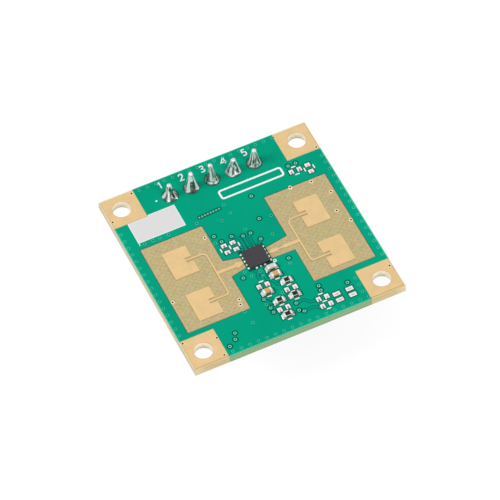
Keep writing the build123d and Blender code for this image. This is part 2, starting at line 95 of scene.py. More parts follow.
# Places that only the looks use
PAD_IN = 8.45  # inner edge of the bare corner pads
RIM_LINE = 0.07  # painted shade line beside the copper, on the strip of laminate round it
CORNER_GLOW = (1.3, 0.1)  # the front wall turns pale between these distances from its corners
HOLE_MARGIN = 0.05  # past a mounting hole's radius, where its wall's colour ends
WEAVE_PITCH = (0.36, 0.30)  # of the glass cloth, along X and along Y
LABEL_RIGHT = -4.0  # print to the left of this and above LABEL_LOW is greyer
LABEL_LOW = 4.8
FOOT_SHADE_RISE = (0.66, 0.80)  # from the middle of the board to where the painted shade on a chip part's flank clears


def srgb(red, green, blue):
    """Linear colour of an sRGB colour given from 0 to 255."""
    def channel(value):
        value /= 255
        return value / 12.92 if value <= 0.04045 else ((value + 0.055) / 1.055) ** 2.4
    return (channel(red), channel(green), channel(blue))


# Colours that several finishes share or blend
GOLD = srgb(230, 197, 143)
LAMINATE_FACE = srgb(191, 175, 129)
LAMINATE_GREEN = srgb(184, 181, 130)
LAMINATE_PINK = srgb(198, 169, 128)
LAMINATE_GREY = srgb(190, 174, 138)
LAMINATE_STRAW = srgb(192, 176, 119)
LAMINATE_WALL = srgb(236, 220, 184)
LAMINATE_SHADE = srgb(166, 134, 88)
FRONT_RIM = srgb(220, 193, 140)
GREEN_WALL_TOP = srgb(116, 194, 153)
GREEN_WALL = srgb(158, 188, 143)
GREEN_WALL_LOW = srgb(142, 180, 139)
GREEN_WALL_PALE = srgb(186, 208, 160)
TAWNY_DARK = srgb(222, 198, 146)
TAWNY_LIGHT = srgb(238, 218, 172)
TAWNY_CORNER = srgb(252, 234, 186)
# Pale laminate, raised towards white as painted light from the white floor below the holes
LIT_HOLE_WALL = srgb(255, 246, 224)
PRINT_FILL = srgb(222, 221, 222)
PRINT_WHITE = srgb(246, 248, 248)
TIN = (0.96, 0.945, 0.94)
TIN_SHADE = (0.42, 0.34, 0.33)
LAND_DARK = (0.08, 0.03, 0.028)
# Painted shade on the lower flanks of the chip parts, greenish on the resistors as a painted reflection of
# the mask
CAPACITOR_FOOT_SHADE = srgb(96, 66, 42)
RESISTOR_FOOT_SHADE = srgb(20, 44, 38)
PIN_GILT = (0.82, 0.60, 0.24)
PIN_GILT_DARK = (0.80, 0.58, 0.23)
PIN_GILT_LIGHT = (0.86, 0.64, 0.27)


class Tree:
    """Node tree of a material or world, with short calls for its nodes."""

    def __init__(self, owner):
        owner.use_nodes = True
        self.tree = owner.node_tree

    def new(self, kind, **values):
        node = self.tree.nodes.new("ShaderNode" + kind)
        self.set(node, **values)
        return node

    def set(self, node, **values):
        for key, value in values.items():
            if key in node.inputs:
                node.inputs[key].default_value = value
            else:
                setattr(node, key, value)

    def link(self, output, node, key):
        self.tree.links.new(output, node.inputs[key])

    def fill(self, sockets, values):
        """Links each socket to an output, or sets it to a number or colour."""
        for socket, value in zip(sockets, values):
            if isinstance(value, bpy.types.NodeSocket):
                self.tree.links.new(value, socket)
            else:
                socket.default_value = (*value, 1) if isinstance(value, tuple) else value

    def range(self, value, low, high, to_low=0.0, to_high=1.0):
        ends = {"From Min": low, "From Max": high, "To Min": to_low, "To Max": to_high}
        node = self.new("MapRange", **ends)
        self.link(value, node, "Value")
        return node.outputs["Result"]

    def math(self, operation, *values):
        node = self.new("Math", operation=operation)
        self.fill(node.inputs, values)
        return node.outputs[0]

    def seen_directly(self):
        """1 for rays from the camera, mirrored or through glass, and 0 for the light on the object."""
        path = self.new("LightPath").outputs
        mirrored = self.math("MAXIMUM", path["Is Camera Ray"], path["Is Glossy Ray"])
        return self.math("MAXIMUM", mirrored, path["Is Transmission Ray"])


class Look(Tree):
    """Material of one finish, with short calls for what the finishes share."""

    def __init__(self, name, colour, roughness, metallic=0.0, specular=0.5, coat=0.0):
        self.material = bpy.data.materials.new(name)
        super().__init__(self.material)
        self.shader = self.tree.nodes["Principled BSDF"]
        self.set(self.shader, **{
            "Base Color": (*colour, 1),
            "Roughness": roughness,
            "Metallic": metallic,
            "Specular IOR Level": specular,
            "Coat Weight": coat,
        })
        self.place = self.new("TexCoord").outputs["Object"]

    def stretched(self, scale):
        """Object position in millimetres, stretched along its axes."""
        mapping = self.new("Mapping")
        mapping.inputs["Scale"].default_value = [1 / MM * s for s in scale]
        self.link(self.place, mapping, "Vector")
        return mapping.outputs["Vector"]

    def noise(self, scale, detail=2.0, roughness=0.5, stretch=(1, 1, 1)):
        """Noise between 0 and 1 with features of about 1/scale millimetres."""
        node = self.new("TexNoise", Scale=scale, Detail=detail, Roughness=roughness)
        self.link(self.stretched(stretch), node, "Vector")
        return node.outputs["Fac"]

    def ramp(self, factor, stops):
        """Colour ramp through (position, colour) stops."""
        node = self.new("ValToRGB")
        elements = node.color_ramp.elements
        while len(elements) < len(stops):
            elements.new(0.5)
        for element, (position, colour) in zip(elements, stops):
            element.position = position
            element.color = (*colour, 1)
        self.link(factor, node, "Fac")
        return node.outputs["Color"]

    def graded(self, factor, colour, dark, light, low=0.3, high=0.7):
        """The colour from a darker to a lighter shade of it."""
        return self.ramp(factor, [(low, shade(colour, dark)), (high, shade(colour, light))])

    def mix(self, factor, first, second):
        node = self.new("Mix", data_type="RGBA")
        self.fill((node.inputs[0], node.inputs[6], node.inputs[7]), (factor, first, second))
        return node.outputs[2]

    def painted(self):
        """The tones that a piece's points carry."""
        return self.new("VertexColor", layer_name="tone").outputs["Color"]

    def bump(self, height, strength, distance_mm):
        node = self.new("Bump", Strength=strength, Distance=distance_mm * MM)
        self.link(height, node, "Height")
        self.link(node.outputs["Normal"], self.shader, "Normal")

    def colour(self, output):
        self.link(output, self.shader, "Base Color")

    def roughness(self, noise, low, high):
        self.link(self.range(noise, 0.3, 0.7, low, high), self.shader, "Roughness")

    def axis(self, vector, name):
        split = self.new("SeparateXYZ")
        self.link(vector, split, "Vector")
        return split.outputs[name]

    def normal_axis(self, name):
        return self.axis(self.new("TexCoord").outputs["Normal"], name)

    def position_axis(self, name):
        return self.axis(self.stretched((1, 1, 1)), name)

    def reach(self, name):
        """Distance from the middle of the board along an axis."""
        return self.math("ABSOLUTE", self.position_axis(name))


def shade(colour, factor):
    return tuple(channel * factor for channel in colour)


def mask_material(name, colour):
    """Green mask with faint unevenness from the copper and cloth below it."""
    look = Look(name, colour, 0.42, specular=0.03)
    look.colour(look.graded(look.noise(0.12, 3.0), colour, 0.92, 1.07))
    look.roughness(look.noise(2.0), 0.36, 0.5)
    look.bump(look.noise(1.6, 3.0), 0.12, 0.02)
    return look.material


def gold_material():
    """Matte gold flash with a fine grain."""
    look = Look("gold_flash", GOLD, 0.42, metallic=0.35, specular=0.2)
    look.colour(look.graded(look.noise(0.9, 5.0, 0.65), GOLD, 0.93, 1.05))
    look.roughness(look.noise(9.0, 3.0), 0.38, 0.5)
    look.bump(look.noise(14.0, 3.0), 0.15, 0.01)
    return look.material


def cloth_grain(look):
    """Height of the glass cloth: a plain weave with uneven threads both ways."""
    waves = [look.math("SINE", look.math("MULTIPLY", look.position_axis(axis), math.pi / pitch))
             for axis, pitch in zip("XY", WEAVE_PITCH)]
    cloth = look.range(look.math("MULTIPLY", *waves), -1.0, 1.0)
    threads = look.noise(1.0, 3.0, stretch=(5, 1.1, 1))
    fibres = look.noise(1.0, 3.0, stretch=(1.0, 6, 1))
    share = 0.35
    total = look.math("ADD", look.math("MULTIPLY", cloth, share), look.math("ADD", threads, fibres))
    return look.math("MULTIPLY", total, 1 / (share + 2))


def cloth_face(look, grain):
    """Tints of the cloth, blended over a few millimetres."""
    def tinted(colour):
        return look.graded(grain, colour, 0.86, 1.13, 0.36, 0.64)

    cool = look.range(look.noise(1.8, 4.0, 0.6, stretch=(0.6, 1.4, 1)), 0.38, 0.62)
    warm = look.range(look.noise(0.9, 4.0, 0.6, stretch=(1.4, 0.7, 1)), 0.38, 0.62)
    return look.mix(0.5,
                    look.mix(cool, tinted(LAMINATE_GREEN), tinted(LAMINATE_PINK)),
                    look.mix(warm, tinted(LAMINATE_GREY), tinted(LAMINATE_STRAW)))


def laminate_rim(look, face):
    """The face with the strip beyond the copper: a painted shade line, then the colour of the cut edge."""
    edges = [(look.reach("X"), COPPER_HIGH.x), (look.reach("Y"), COPPER_HIGH.y)]
    share = look.math("MAXIMUM", *[look.range(reach, edge, edge + RIM_LINE) for reach, edge in edges])
    front = look.math("LESS_THAN", look.position_axis("Y"), -COPPER_HIGH.y)
    rim = look.mix(front, look.ramp(share, [(0.0, LAMINATE_SHADE), (1.0, LAMINATE_WALL)]),
                   look.ramp(share, [(0.0, LAMINATE_SHADE), (1.0, FRONT_RIM)]))
    on_rim = look.math("MAXIMUM", *[look.math("GREATER_THAN", reach, edge - 0.01) for reach, edge in edges])
    return look.mix(on_rim, face, rim)


def laminate_wall(look):
    """Cut edges with their layers: green and tawny at the front, darker there partly as painted shade, pale
    elsewhere, and paler in the holes as painted light.
    """
    layers = look.noise(1.0, 3.0, stretch=(0.35, 0.35, 9))
    height, reach_x, reach_y = look.position_axis("Z"), look.reach("X"), look.reach("Y")
    edge = look.graded(layers, LAMINATE_WALL, 0.88, 1.04, 0.35, 0.65)
    zones = look.ramp(look.range(height, BOARD_LOW.z, BOARD_HIGH.z), [
        (0.1, GREEN_WALL_LOW), (0.4, GREEN_WALL), (0.6, GREEN_WALL), (0.9, GREEN_WALL_TOP),
    ])
    green = look.mix(look.range(layers, 0.4, 0.7, 0.0, 0.4), zones, GREEN_WALL_PALE)
    tawny = look.ramp(layers, [(0.35, TAWNY_DARK), (0.65, TAWNY_LIGHT)])
    glow = look.range(reach_x, *(BOARD_HIGH.x - distance for distance in CORNER_GLOW))
    tawny = look.mix(glow, tawny, TAWNY_CORNER)
    tawny = look.mix(look.range(height, 0.0, 0.7, 0.6, 1.0), edge, tawny)
    # The front wall takes darker colours than the other walls under the mask: partly painted shade
    front = look.math("LESS_THAN", look.normal_axis("Y"), -0.5)
    under_mask = look.math("LESS_THAN", reach_x, PAD_IN)
    wall = look.mix(front, edge, look.mix(under_mask, tawny, green))
    # Hole walls paler than the other cut edges: painted light
    off_hole = [look.math("ABSOLUTE", look.math("SUBTRACT", reach, HOLE_AT))
                for reach in (reach_x, reach_y)]
    near_hole = look.math("LESS_THAN", look.math("MAXIMUM", *off_hole), HOLE_R + HOLE_MARGIN)
    return look.mix(near_hole, wall, LIT_HOLE_WALL)


def laminate_material():
    """Woven board, with cloth on its faces and layers on its walls."""
    look = Look("woven_laminate", LAMINATE_FACE, 0.55, specular=0.1)
    grain = cloth_grain(look)
    face = laminate_rim(look, cloth_face(look, grain))
    level = look.math("GREATER_THAN", look.math("ABSOLUTE", look.normal_axis("Z")), 0.5)
    look.colour(look.mix(level, laminate_wall(look), face))
    look.bump(grain, 0.2, 0.02)
    return look.material


def tin_material():
    """Bright solder with painted reflection: darker where it lies flat than on its rounded flanks, and in
    loose patches.
    """
    look = Look("bright_tin", TIN, 0.2, metallic=0.3, specular=0.5, coat=0.6)
    level = look.range(look.normal_axis("Z"), 0.90, 0.995)
    patch = look.math("MULTIPLY", level, look.range(look.noise(5.0, 3.0), 0.35, 0.65, 0.0, 0.5))
    hollow = look.math("MULTIPLY", look.range(look.noise(2.6, 2.0), 0.52, 0.66), 0.8)
    look.colour(look.mix(look.math("MAXIMUM", patch, hollow), TIN, TIN_SHADE))
    look.roughness(look.noise(4.0), 0.14, 0.28)
    look.bump(look.noise(4.0, 3.0), 0.4, 0.05)
    return look.material


def joint_material():
    """Drawn solder, with the painted highlights, reflections and shade that Joint.tone gives its ridges and
    hollows, and darker in loose patches.
    """
    look = Look("joint_tin", TIN, 0.18, metallic=0.25, specular=0.6, coat=1.0)
    cloud = look.noise(1.0, 4.0, 0.65, stretch=(6, 6, 1.6))
    dim = look.math("SUBTRACT", 1.0, look.range(cloud, 0.42, 0.62))
    look.colour(look.mix(look.math("MULTIPLY", dim, 0.22), look.painted(), shade(TIN_SHADE, 0.3)))
    look.roughness(look.noise(4.0), 0.12, 0.3)
    look.bump(look.noise(3.0, 3.0), 0.35, 0.08)
    return look.material


def land_material():
    """Flat tin, darker in the middle of each land by its tones."""
    look = Look("land_tin", TIN, 0.35, metallic=0.3, specular=0.4)
    look.colour(look.mix(look.range(look.noise(7.0, 3.0), 0.35, 0.65, 0.0, 0.3), look.painted(), TIN_SHADE))
    look.roughness(look.noise(4.0), 0.28, 0.42)
    look.bump(look.noise(6.0, 3.0), 0.25, 0.02)
    return look.material


def print_material():
    """White ink, a little grey where it covers the field of the label."""
    look = Look("white_print", PRINT_WHITE, 0.6, specular=0.25)
    left = look.math("LESS_THAN", look.position_axis("X"), LABEL_RIGHT)
    upper = look.math("GREATER_THAN", look.position_axis("Y"), LABEL_LOW)
    fill = look.mix(look.math("MULTIPLY", left, upper), PRINT_WHITE, PRINT_FILL)
    speck = look.noise(3.0, 3.0)
    look.colour(look.mix(look.range(speck, 0.3, 0.7, 0.0, 0.04), fill, TIN_SHADE))
    look.bump(speck, 0.03, 0.02)
    return look.material


def matte_material(name, colour, roughness, grain, height, spread=0.15, foot=None):
    """Moulded or fired surface with a fine grain, turning to its painted foot shade near the board."""
    look = Look(name, colour, roughness, specular=0.25)
    speck = look.noise(grain, 3.0)
    body = look.graded(speck, colour, 1 - spread, 1 + spread)
    if foot:
        # Painted shade on the lower flank, in the foot colour near the board
        middle = (BOARD_LOW.z + BOARD_HIGH.z) / 2
        off_board = look.math("ABSOLUTE", look.math("SUBTRACT", look.position_axis("Z"), middle))
        body = look.mix(look.range(off_board, *FOOT_SHADE_RISE), foot, body)
    look.colour(body)
    look.roughness(look.noise(grain / 2), roughness - 0.06, roughness + 0.06)
    look.bump(speck, height, 0.02)
    return look.material


def pin_material():
    """Gilt pin, wetted with solder above the board."""
    look = Look("gilt_pin", PIN_GILT, 0.2, metallic=1.0)
    lines = look.noise(2.0, 2.0, stretch=(9, 9, 0.4))
    gilt = look.ramp(lines, [(0.3, PIN_GILT_DARK), (0.7, PIN_GILT_LIGHT)])
    wetted = look.math("GREATER_THAN", look.position_axis("Z"), MASK_TOP)
    look.colour(look.mix(wetted, gilt, TIN_SHADE))
    look.roughness(lines, 0.16, 0.26)
    look.bump(lines, 0.05, 0.01)
    return look.material


# Mask over what lies below it; the gap, raised and pit colours also serve as painted shade and highlight
MASKS = {
    "solder_mask": srgb(0, 160, 126),
    "solder_mask_gap": srgb(0, 104, 82),
    "solder_mask_raised": srgb(70, 200, 168),
    "solder_mask_on_ring": srgb(140, 214, 194),
    "solder_mask_on_trace": srgb(4, 154, 132),
    "solder_mask_beside_trace": srgb(0, 122, 98),
    "solder_mask_pit": srgb(0, 34, 28),
    "solder_mask_shallow_pit": srgb(6, 96, 76),
}
# Colour, roughness, grain, height of the grain, then its spread in tone and the painted shade near the
# board
MATTES = {
    "plated_rim": (srgb(250, 234, 194), 0.3, 8.0, 0.1, 0.04),
    "laminate_edge": (LAMINATE_SHADE, 0.6, 6.0, 0.1),
    "laminate_window_edge": (srgb(212, 182, 142), 0.6, 6.0, 0.1),
    "laminate_window_blush": (srgb(201, 174, 131), 0.6, 6.0, 0.1),
    "hole_shadow": ((0.040, 0.012, 0.001), 0.9, 5.0, 0.1),
    "thick_print": (PRINT_WHITE, 0.6, 6.0, 0.05, 0.02),
    "moulded_epoxy": (srgb(60, 57, 62), 0.5, 12.0, 0.35),
    "strip_plastic": ((0.012, 0.012, 0.013), 0.42, 6.0, 0.12),
    "capacitor_ceramic": (srgb(214, 166, 104), 0.45, 8.0, 0.2, 0.15, CAPACITOR_FOOT_SHADE),
    "pale_capacitor_ceramic": (srgb(216, 208, 200), 0.45, 8.0, 0.2, 0.15, CAPACITOR_FOOT_SHADE),
    "resistor_ceramic": ((0.72, 0.70, 0.64), 0.6, 10.0, 0.2, 0.15, RESISTOR_FOOT_SHADE),
    "resistor_coat": ((0.010, 0.009, 0.010), 0.3, 7.0, 0.1),
}
MATERIALS = {
    "gold_flash": gold_material(),
    "woven_laminate": laminate_material(),
    "white_print": print_material(),
    "gilt_pin": pin_material(),
    "bright_tin": tin_material(),
    "joint_tin": joint_material(),
    "land_tin": land_material(),
}
MATERIALS |= {name: mask_material(name, colour) for name, colour in MASKS.items()}
MATERIALS |= {name: matte_material(name, *values) for name, values in MATTES.items()}

SLOT_LOOKS = {
    "laminate": "woven_laminate",
    "gold_copper": "gold_flash",
    "solder_mask": "solder_mask",
    "print": "white_print",
    "solder": "bright_tin",
    "pin_metal": "gilt_pin",
    "strip_plastic": "strip_plastic",
    "mould_compound": "moulded_epoxy",
    "capacitor_ceramic": "capacitor_ceramic",
    "resistor_ceramic": "resistor_ceramic",
    "resistor_glass": "resistor_coat",
}
OWN_LOOKS = {"capacitor_1_body": "pale_capacitor_ceramic"}


def dress_nodes():
    """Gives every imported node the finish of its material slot."""
    for row in frame["record"]["subparts"]:
        mesh = nodes[row["node"]].data
        mesh.materials.clear()
        look = OWN_LOOKS.get(row["node"], SLOT_LOOKS[row["material_slot"]])
        mesh.materials.append(MATERIALS[look])


def on_circle(middle, radius, angle):
    return Vector((middle[0] + radius * math.cos(angle), middle[1] + radius * math.sin(angle)))


def rounded(points, radius, steps):
    """Outline at a radius from a convex loop of points, with arcs round its corners."""
    outline = []
    for i, point in enumerate(points):
        before, after = point - points[i - 1], points[(i + 1) % len(points)] - point
        heading = math.atan2(before.y, before.x)
        sweep = (math.atan2(after.y, after.x) - heading) % (2 * math.pi)
        for step in range(steps + 1):
            outline.append(on_circle(point, radius, heading - math.pi / 2 + sweep * step / steps))
    return outline


class Shapes:
    """Closed shells gathered into one mesh, in millimetres."""

    def __init__(self):
        self.points = []
        self.faces = []
        self.tones = []

    def add(self, points, faces):
        start = len(self.points)
        self.points += [tuple(point) for point in points]
        self.faces += [tuple(start + index for index in face) for face in faces]

    def tube(self, rings, closed):
        """Skin over rings of equally many points, run back to the first ring or capped at both ends."""
        count = len(rings[0])
        last = len(rings) * count
        faces = []
        for start in range(0, last if closed else last - count, count):
            after = (start + count) % last
            for i in range(count):
                j = (i + 1) % count
                faces.append((start + i, start + j, after + j, after + i))
        if not closed:
            faces += [tuple(reversed(range(count))), tuple(range(last - count, last))]
        self.add([point for ring in rings for point in ring], faces)

    def prism(self, outline, low, high):
        """Upright prism over a polygon that runs counter-clockwise."""
        self.tube([[(x, y, z) for x, y in outline] for z in (low, high)], closed=False)

    def disc(self, x, y, radius, low, high, segments=20):
        turn = 2 * math.pi / segments
        self.prism([on_circle((x, y), radius, i * turn) for i in range(segments)], low, high)

    def lathe(self, x, y, profile, segments=24):
        """Closed ring turned about a vertical axis from a closed profile of (radius, height)."""
        angles = [2 * math.pi * i / segments for i in range(segments)]
        rings = [[(*on_circle((x, y), r, angle), z) for r, z in profile] for angle in angles]
        self.tube(rings, closed=True)

    def ring(self, x, y, inner, outer, low, high, segments=24):
        self.lathe(x, y, [(inner, low), (outer, low), (outer, high), (inner, high)], segments)

    def ribbon(self, path, width, low, high):
        """Flat strip of one width along a path, mitred at its bends."""
        line = [Vector(point) for point in path]
        ways = [(b - a).normalized() for a, b in zip(line, line[1:])]
        left, right = [], []
        for i, point in enumerate(line):
            before, after = ways[max(i - 1, 0)], ways[min(i, len(ways) - 1)]
            across = (before + after).orthogonal().normalized()
            reach = width / 2 / max(0.5, across.dot(after.orthogonal()))
            left.append(point + across * reach)
            right.append(point - across * reach)
        self.prism(right + left[::-1], low, high)

    def band(self, loop, first, last, low, high):
        """Flat ring between two offsets of a closed line, which grow towards its left."""
        inner, outer = offset_loop(loop, first), offset_loop(loop, last)
        edges = [(inner, low), (outer, low), (outer, high), (inner, high)]
        self.tube([[(x, y, z) for x, y in line] for line, z in edges], closed=True)

    def sheet(self, height, x_range, y_range, base, steps):
        """Closed mound over a rectangle from a height function of x and y."""
        xs = np.linspace(*x_range, steps[0])
        ys = np.linspace(*y_range, steps[1])
        top = [(x, y, height(x, y)) for x in xs for y in ys]
        bottom = [(x, y, base) for x in xs for y in ys]
        rows, columns = steps
        shift = rows * columns
        faces = []
        for i in range(rows - 1):
            for j in range(columns - 1):
                a, b = i * columns + j, (i + 1) * columns + j
                faces.append((a, b, b + 1, a + 1))
                faces.append((shift + a, shift + a + 1, shift + b + 1, shift + b))
        rim = [i * columns for i in range(rows)] + [(rows - 1) * columns + j for j in range(1, columns)]
        rim += [i * columns + columns - 1 for i in reversed(range(rows - 1))]
        rim += [j for j in reversed(range(1, columns - 1))]
        faces += [(a, shift + a, shift + b, b) for a, b in zip(rim, rim[1:] + rim[:1])]
        self.add(top + bottom, faces)

    def soft_box(self, low, high, radius, segments=3):
        """Box with rounded edges."""
        bm = bmesh.new()
        bmesh.ops.create_cube(bm, size=1)
        for vertex in bm.verts:
            vertex.co = [b if c > 0 else a for a, b, c in zip(low, high, vertex.co)]
        bmesh.ops.bevel(bm, geom=bm.edges[:], offset=radius, segments=segments, profile=0.5, affect="EDGES")
        bm.verts.index_update()
        self.add([v.co for v in bm.verts], [[v.index for v in f.verts] for f in bm.faces])
        bm.free()

    def piece(self, name, look, slot, replaces=(), smooth=True):
        """The mesh as an object of the scene, riding on the board."""
        mesh = bpy.data.meshes.new(name)
        mesh.from_pydata([tuple(c * MM for c in point) for point in self.points], [], self.faces)
        bm = bmesh.new()
        bm.from_mesh(mesh)
        bmesh.ops.recalc_face_normals(bm, faces=bm.faces[:])
        bm.to_mesh(mesh)
        bm.free()
        mesh.materials.append(MATERIALS[look])
        if self.tones:
            layer = mesh.color_attributes.new(name="tone", type="FLOAT_COLOR", domain="POINT")
            for value, tone in zip(layer.data, self.tones):
                value.color = (*tone, 1)
        made = bpy.data.objects.new(name, mesh)
        bpy.context.scene.collection.objects.link(made)
        if smooth:
            mesh.shade_smooth()
            mesh.set_sharp_from_angle(angle=math.radians(40))
        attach(made, "root")
        if replaces:
            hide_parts(*replaces)


def offset_loop(loop, distance):
    """Closed line moved to its left by a distance, mitred at its corners."""
    moved = []
    for i, point in enumerate(loop):
        before = (point - loop[i - 1]).normalized()
        after = (loop[(i + 1) % len(loop)] - point).normalized()
        across = (before + after).orthogonal().normalized()
        moved.append(point + across * distance / max(0.4, across.dot(after.orthogonal())))
    return moved


def outlines(node, level):
    """Closed lines round a packed flat node at one height in millimetres, its inside on their left."""
    mesh = nodes[node].data
    after = {}
    for face in mesh.polygons:
        if abs(face.normal.z) > 0.1:
            continue
        ring = [mesh.vertices[i].co / MM for i in face.vertices]
        ends = [point.xy for point in ring if abs(point.z - level) < 1e-4]
        if len(ends) != 2:
            continue
        start, end = ends
        if (end - start).orthogonal().dot(face.normal.xy) > 0:
            start, end = end, start
        after.setdefault(key_of(start), []).append(end)
    loops = []
    while after:
        first = next(iter(after))
        loop, place = [], first
        while place in after:
            end = after[place].pop()
            if not after[place]:
                del after[place]
            loop.append(end)
            place = key_of(end)
        loops.append(straightened(loop))
    return loops


def key_of(point):
    return tuple(round(value, 4) for value in point)


def straightened(loop):
    """Closed line without the points that lie on its straight runs."""
    kept = []
    for i, point in enumerate(loop):
        before, after = point - loop[i - 1], loop[(i + 1) % len(loop)] - point
        if abs(before.normalized().cross(after.normalized())) > 0.01:
            kept.append(point)
    return kept


# Solder joints. Angles are in degrees about the pin; -112 faces the camera of the photograph.
# Heights on a joint are shares of its own height.
JOINT_SEGMENTS = 96
JOINT_ROWS = 56
ROW_POWER = 1.1  # rows crowd towards the foot
LEAN_POWER = 1.4
JOINT_PEAK = 0.88
HOLLOW_DEPTH = 0.36
HOLLOW_H = 0.15
WAIST_POWER = 0.7
LEAST_R = 0.012
PIN_HALF = 0.32
PIN_END_HALF = 0.15
PIN_POINT_L = 0.9
PIN_TAIL_L = corners("header_pin_1")[1].z - COPPER_TOP  # above the board
PIN_COVER = 0.02
TONE_MIDDLE = 0.46
TONE_CONTRAST = 1.35
RIDGE_TONE = 0.18
WAVE_TONE = 0.09
HOLLOW_TONE = 0.34
TIP_TONE = 0.70
TIP_FROM = 0.8
TIP_FADE = 0.1
TIP_SHARE = 0.8
STREAK_FADE = 0.06
STREAK_GAIN = 1.8
SKIRT_H = 0.05
SKIRT_SHADE = 0.3
# Ramp of painted light on drawn solder, from a dark greenish painted reflection of the mask to a white
# painted highlight
TONES = [
    (0.00, (0.008, 0.014, 0.012)),
    (0.25, (0.080, 0.140, 0.120)),
    (0.50, (0.460, 0.560, 0.520)),
    (0.72, (0.950, 0.935, 0.925)),
    (1.00, (1.000, 0.990, 0.985)),
]


@dataclass
class Joint:
    """Outline and painted light of one soldered pin tail: its highlights, reflections and shade.

    foot, neck and skirt are radii: of the flank at its base, of the neck, and of the thin film
    that runs out over the land.
    legs are (angle, width, share of the height) of ridges that flare to the foot, hollows
    (angle, width, height) of dents between them, and streaks (angle, width, low, high, tone)
    of painted highlights and reflections on the flank.
    """

    foot: float
    power: float
    neck: float
    lean: tuple
    depth: float
    skirt: float
    legs: list
    hollows: list
    streaks: list

    def ridge(self, height, angle):
        return max(near(angle, leg, width) * max(0.0, 1 - height / top) for leg, width, top in self.legs)

    def radius(self, height, angle):
        below_peak = max(0.0, 1 - height / JOINT_PEAK)
        flank = self.neck + (self.foot - self.neck) * below_peak ** self.power
        tip = 1.0
        if height > JOINT_PEAK:
            tip = math.sqrt(max(0.0, 1 - ((height - JOINT_PEAK) / (1 - JOINT_PEAK)) ** 2))
        scale = 1 - self.depth * below_peak ** WAIST_POWER * (1 - self.ridge(height, angle))
        for middle, width, level in self.hollows:
            scale -= HOLLOW_DEPTH * near(angle, middle, width) * bell(height, level, HOLLOW_H)
        radius = max(LEAST_R, flank * tip * scale)
        if height < SKIRT_H:
            radius = self.skirt - (self.skirt - radius) * (height / SKIRT_H) ** 0.5
        return radius

    def tone(self, height, angle):
        # Painted highlights on the ridges, streaks and tip, and painted shade in the hollows and at the
        # foot of the skirt
        tone = TONE_MIDDLE + RIDGE_TONE * self.ridge(height, angle)
        tone += WAVE_TONE * math.sin(math.radians(5 * angle) + 7 * height)
        tone += WAVE_TONE * math.sin(math.radians(11 * angle) - 9 * height)
        for middle, width, level in self.hollows:
            tone -= HOLLOW_TONE * near(angle, middle, width * 1.1) * bell(height, level, 0.18)
        for middle, width, low, high, value in self.streaks:
            ramp = min(1.0, max(0.0, min(height - low, high - height) / STREAK_FADE))
            tone += (value - tone) * ramp * min(1.0, STREAK_GAIN * near(angle, middle, width))
        if height < SKIRT_H:
            tone *= SKIRT_SHADE + (1 - SKIRT_SHADE) * (height / SKIRT_H) ** 2
        tone = TONE_MIDDLE + TONE_CONTRAST * (tone - TONE_MIDDLE)
        if height > TIP_FROM:
            tone += (TIP_TONE - tone) * min(1.0, (height - TIP_FROM) / TIP_FADE) * TIP_SHARE
        return blend_tone(min(1.0, max(0.0, tone)))


def bell(value, middle, width):
    """1 at the middle, falling off over a width."""
    return math.exp(-((value - middle) / width) ** 2)


def near(angle, middle, width):
    """The same for angles in degrees."""
    return bell((angle - middle + 180) % 360 - 180, 0, width)


def pin_reach(rise, angle, lean):
    """Distance from the leaned middle of a joint to the side of the square pin inside it."""
    if rise > PIN_TAIL_L:
        return -PIN_COVER
    half = PIN_HALF - (PIN_HALF - PIN_END_HALF) * max(0.0, rise - PIN_TAIL_L + PIN_POINT_L) / PIN_POINT_L
    way = (math.cos(math.radians(angle)), math.sin(math.radians(angle)))
    return min((math.copysign(half, w) - offset) / w for w, offset in zip(way, lean) if abs(w) > 1e-6)


def blend_tone(value):
    for (low, first), (high, last) in zip(TONES, TONES[1:]):
        if value <= high:
            share = (value - low) / (high - low)
            return tuple(a + (b - a) * share for a, b in zip(first, last))
    return TONES[-1][1]


